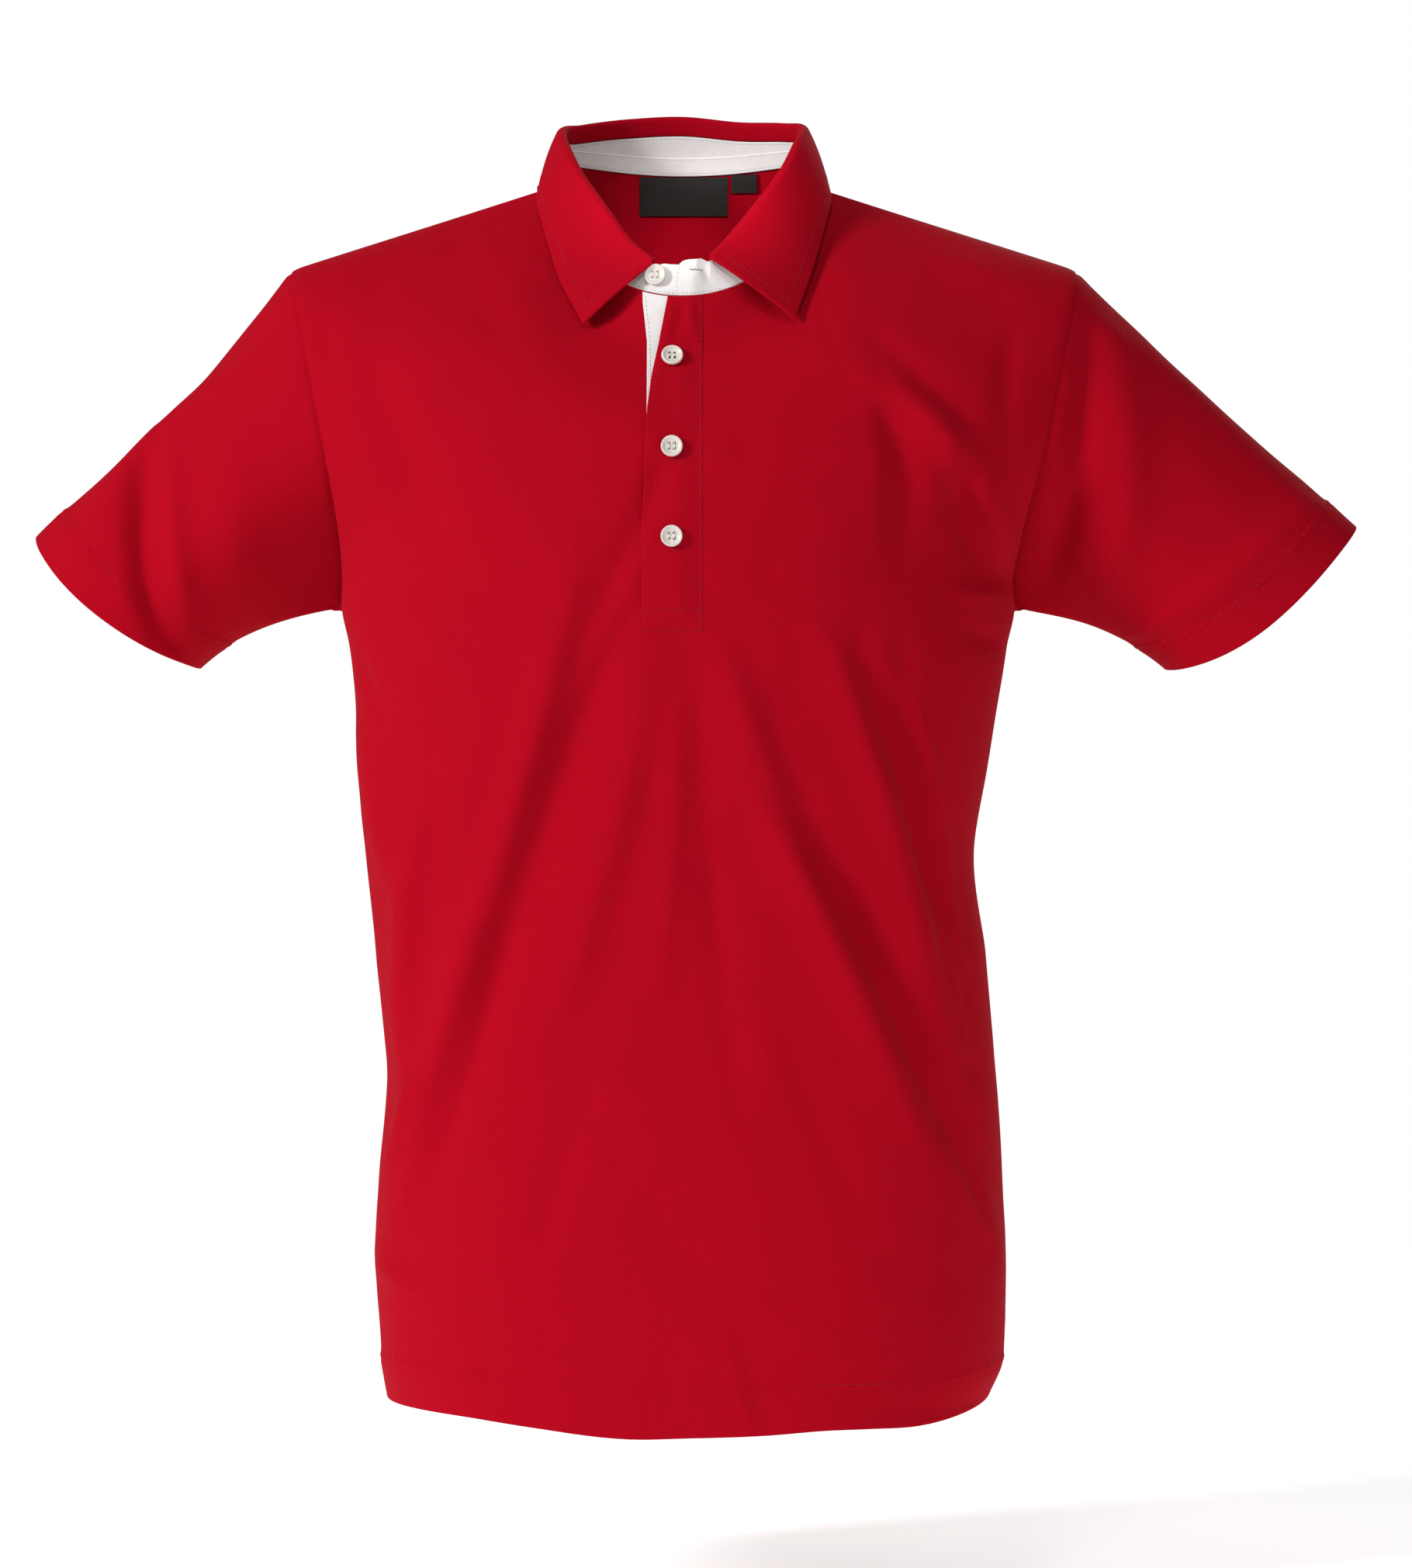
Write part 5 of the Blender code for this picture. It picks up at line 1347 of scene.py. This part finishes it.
def button(name, centre, normal, finish_of):
    """A round four-hole button with a raised rim, lying on the cloth."""
    form = bmesh.new()
    verts = [form.verts.new((r * BUTTON_RADIUS, 0, h * BUTTON_HEIGHT)) for r, h in BUTTON_PROFILE]
    edges = [form.edges.new(pair) for pair in zip(verts, verts[1:])]
    turned = {"cent": (0, 0, 0), "axis": (0, 0, 1), "angle": 2 * np.pi, "steps": 48}
    bmesh.ops.spin(form, geom=verts + edges, use_merge=True, **turned)
    bmesh.ops.remove_doubles(form, verts=form.verts[:], dist=0.00001)
    bmesh.ops.recalc_face_normals(form, faces=form.faces[:])
    made = show(name, mesh_of(name, form), finish_of)
    drills = bmesh.new()
    drilled = {"cap_ends": True, "segments": 14, "depth": 0.008}
    for dx in (-1, 1):
        for dy in (-1, 1):
            drill = bmesh.ops.create_cone(
                drills, radius1=HOLE_RADIUS, radius2=HOLE_RADIUS, **drilled
            )["verts"]
            bmesh.ops.translate(drills, verts=drill, vec=(dx * HOLE_PLACE, dy * HOLE_PLACE, 0))
    cutter = put(name + "_drills", mesh_of(name + "_drills", drills))
    made.modifiers.new("holes", "BOOLEAN").object = cutter
    with_holes = final_mesh(made)
    made.modifiers.clear()
    made.data = with_holes
    bpy.data.objects.remove(cutter, do_unlink=True)
    turn = Vector(normal).to_track_quat("Z", "Y").to_matrix().to_4x4()
    turn.translation = Vector(centre)
    made.data.transform(turn)
    made.data.shade_smooth()
    made.data.set_sharp_from_angle(angle=np.radians(40))
    return made, turn


def nearest_on(points, normals, x, z):
    """The point of a surface's front half at x and z, with its normal."""
    away = np.linalg.norm(points[..., [0, 2]] - np.array([x, z]), axis=-1)
    away[points[..., 1] > 0] = 1.0
    near = np.unravel_index(away.argmin(), away.shape)
    normal = normals[near]
    y = points[near][1] - ((np.array([x, z]) - points[near][[0, 2]]) @ normal[[0, 2]]) / normal[1]
    return np.array([x, y, z]), normal


def button_seats(placket, stand):
    """Where each button lies: its name, centre and normal."""
    points, normals = placket
    middle = normals[:, normals.shape[1] // 2]
    turns = np.linspace(0, 2 * np.pi, 12, endpoint=False)
    seats = []
    for number, z in enumerate(BUTTON_HEIGHTS, start=1):
        line = np.array([on_row(points, i, BUTTON_X) for i in range(points.shape[0])])
        y = float(np.interp(-z, -line[:, 2], line[:, 1]))
        centre = np.array([BUTTON_X, y, z])
        normal = unit(sampled(-z, -line[:, 2], middle))
        rise = 0.0
        for turn in turns:
            x = BUTTON_X + BUTTON_RADIUS * np.cos(turn)
            line = np.array([on_row(points, i, x) for i in range(points.shape[0])])
            height = z + BUTTON_RADIUS * np.sin(turn)
            depth = float(np.interp(-height, -line[:, 2], line[:, 1]))
            rise = max(rise, float((np.array([x, depth, height]) - centre) @ normal))
        lift = rise + 0.5 * PLACKET_CLOTH + LAYER_GAP
        seats.append((f"button_{number}", centre + normal * lift, normal))
    points, normals = stand
    centre, normal = nearest_on(points, normals, *STAND_BUTTON)
    seats.append(("button_stand", centre + normal * (0.5 * TWILL + LAYER_GAP), normal))
    return seats


def sew_button(name, turn, tilt, finish_of):
    """Two bars of thread through a button's holes, turned by tilt."""
    up = np.array(turn.to_3x3().col[2])
    lines = []
    for side in (-1, 1):
        bar = []
        for t in np.linspace(-1, 1, 5):
            x = side * HOLE_PLACE + tilt * t * HOLE_PLACE
            z = BUTTON_DISH * BUTTON_HEIGHT + THREAD_BOW * (1 - t**2)
            bar.append(np.array(turn @ Vector((x, t * HOLE_PLACE, z))))
        lines.append((np.array(bar), np.tile(up, (5, 1))))
    return stitches(name + "_thread", lines, BUTTON_STITCHES, finish_of)


def sew_buttonholes(upper, stand, dark):
    """What shows of the buttonholes: two ends below each button, and the worn one of the stand."""
    lines = []
    _, points, normals = upper
    for z in BUTTON_HEIGHTS:
        for side in (-1, 1):
            ends = []
            for t in (0.0, 0.5, 1.0):
                x = BUTTON_X + side * (HOLE_OUT + HOLE_END[0] * t)
                ends.append(nearest_on(points, normals, x, z - HOLE_BELOW - HOLE_END[1] * t))
            place, turned = (np.array(part) for part in zip(*ends))
            lines.append((place + 0.5 * PLACKET_CLOTH * turned, turned))
    below = stitches("placket_buttonhole_thread", lines, HOLE_STITCHES, dark)
    _, points, normals = stand
    places = []
    for x in np.linspace(*WORN_HOLE, 17):
        wave = WORN_WAVE * np.sin(2 * np.pi * (x - WORN_HOLE[0]) / WORN_WAVE_LENGTH)
        places.append(nearest_on(points, normals, x, WORN_HOLE_Z + wave))
    place, turned = (np.array(part) for part in zip(*places))
    bars = [(place + 0.5 * TWILL * turned, turned)]
    return below, stitches("stand_buttonhole_thread", bars, WORN_STITCHES, dark)


def lamp(kind, name, place, target, power, **settings):
    light = bpy.data.lights.new(name, kind)
    light.energy = power
    for key, value in settings.items():
        setattr(light, key, value)
    made = put(name, light)
    made.location = place
    aim = Vector(target) - made.location
    made.rotation_euler = aim.to_track_quat("-Z", "Y").to_euler()


def surroundings():
    """Bright all round for the camera, and soft and much dimmer as light on the cloth."""
    world = bpy.data.worlds.new("bright_room")
    bpy.context.scene.world = world
    world.use_nodes = True
    tree = world.node_tree
    tree.nodes.clear()
    glow = "ShaderNodeBackground"
    seen = add(tree, glow, {"Color": (1, 1, 1, 1), "Strength": 1.0}).outputs[0]
    lit = add(tree, glow, {"Color": (1, 0.985, 0.97, 1), "Strength": 0.22}).outputs[0]
    ray = add(tree, "ShaderNodeLightPath").outputs["Is Camera Ray"]
    both = add(tree, "ShaderNodeMixShader", {0: ray, 1: lit, 2: seen}).outputs[0]
    add(tree, "ShaderNodeOutputWorld", {"Surface": both})


def pale_floor():
    """It fades into the surroundings."""
    values = {
        "Base Color": linear("fafafa"),
        "Roughness": 0.9,
        "Emission Color": (1, 1, 1, 1),
        "Emission Strength": 0.5,
    }
    made, tree, shader = finish("pale_floor", values)
    place = add(tree, "ShaderNodeTexCoord").outputs["Object"]
    away = add(tree, "ShaderNodeVectorMath", {0: place}, operation="LENGTH").outputs["Value"]
    span = {"Value": away, "From Min": 0.7, "From Max": 2.4, "To Min": 1.0, "To Max": 0.0}
    tree.links.new(add(tree, "ShaderNodeMapRange", span).outputs[0], shader.inputs["Alpha"])
    form = bmesh.new()
    bmesh.ops.create_circle(form, cap_ends=True, segments=96, radius=FLOOR_RADIUS)
    floor = show("floor", mesh_of("floor", form), made)
    floor.location = (0, 0, FLOOR_Z)


def stage():
    """The floor, soft studio light and the camera."""
    scene = bpy.context.scene
    scene.view_settings.view_transform = "Standard"
    surroundings()
    pale_floor()
    # A narrow light into the neck, where the others hardly reach
    narrow = {"spot_size": np.radians(3.9), "spot_blend": 1.0, "shadow_soft_size": 0.05}
    lamp("SPOT", "neck", (0.0, -1.3, 0.40), (0.003, 0.068, -0.040), 185.0, **narrow)
    for name, place, target, size, power in (
        ("key", (-2.9, -1.9, 1.0), (0, 0, -0.3), 0.8, 110.0),
        ("fill", (2.8, -1.9, -0.5), (0.1, 0, -0.25), 1.8, 23.0),
        ("back", (0.9, 2.6, 1.4), (0, 0, -0.2), 1.6, 30.0),
        ("over", (-0.2, -1.3, 1.5), (0, 0.05, 0.0), 0.5, 7.5),
    ):
        lamp("AREA", name, place, target, power, shape="DISK", size=size)
    view = bpy.data.cameras.new("camera")
    view.sensor_width = SENSOR
    view.lens = SENSOR * CAMERA_DISTANCE / (PHOTO_HEIGHT * PIXEL)
    camera = put("camera", view)
    camera.location = (CAMERA_X, -CAMERA_DISTANCE, CAMERA_Z)
    camera.rotation_euler = (np.pi / 2, 0, 0)
    scene.camera = camera


def ride(piece, slot=None, node=None):
    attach(piece, "root")
    if slot:
        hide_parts(node)


stage()
SEWING = stitch_tree()
red_knit = pique()
white_cotton = twill()
black_label = satin()
pearl_finish = pearl()
red_thread = thread("red_thread", "930018")
grey_thread = thread("grey_thread", "a7a1a0")
white_thread = thread("white_thread", "f2eeea")
dark_thread = thread("dark_thread", "3a0a12")

body = body_and_sleeves(red_knit)
under_placket, upper_placket = plackets(body, red_knit, white_cotton)
neck = collar(body, red_knit, white_cotton)
marks = labels(body, black_label)
seats = button_seats(upper_placket[1:], neck["collar_stand"][1:])
cloths = body | {"placket_under": under_placket, "placket_top": upper_placket} | neck | marks
white_ones = ("placket_under", "collar_stand", "neck_tape")
for node, (piece, _, _) in cloths.items():
    slot = "white_twill" if node in white_ones else "black_satin" if node in marks else "red_pique"
    ride(piece, slot, node)

sewing = {
    "front_body": [sew_hem(body, "front_body", HEM_STITCH, red_thread)],
    "back_body": [sew_hem(body, "back_body", HEM_STITCH, red_thread)],
    "collar_fall": [sew_fall(neck["collar_fall"], red_thread)],
    "collar_stand": [sew_band(neck["collar_stand"], neck["neck_tape"], grey_thread)],
}
for cuff in CUFFS:
    sewing[cuff.name] = [sew_hem(body, cuff.name, CUFF_STITCH, red_thread, ring=True)]
on_top, below = sew_plackets(upper_placket, under_placket, red_thread, grey_thread)
holes, worn_hole = sew_buttonholes(upper_placket, neck["collar_stand"], dark_thread)
sewing["placket_top"] = [on_top, holes]
sewing["placket_under"] = [below]
sewing["collar_stand"].append(worn_hole)
for sewn in sewing.values():
    for piece in sewn:
        ride(piece)

for name, centre, normal in seats:
    piece, turn = button(name + "_pearl", centre, normal, pearl_finish)
    ride(piece, "pearl", name)
    ride(sew_button(name, turn, BUTTON_TILTS[name], white_thread))

# What each sheet hangs from.
for name, held_by in (
    ("front_body", ["collar_stand", "back_body"]),
    ("back_body", ["collar_stand", "front_body"]),
    ("sleeve_left", ["front_body", "back_body"]),
    ("sleeve_right", ["front_body", "back_body"]),
    ("collar_fall", ["collar_stand"]),
    ("collar_stand", ["front_body", "back_body"]),
    ("neck_tape", ["collar_stand"]),
    ("placket_top", ["front_body"]),
    ("placket_under", ["front_body"]),
    ("label_main", ["back_body"]),
    ("label_size", ["back_body"]),
):
    piece, points, _ = cloths[name]
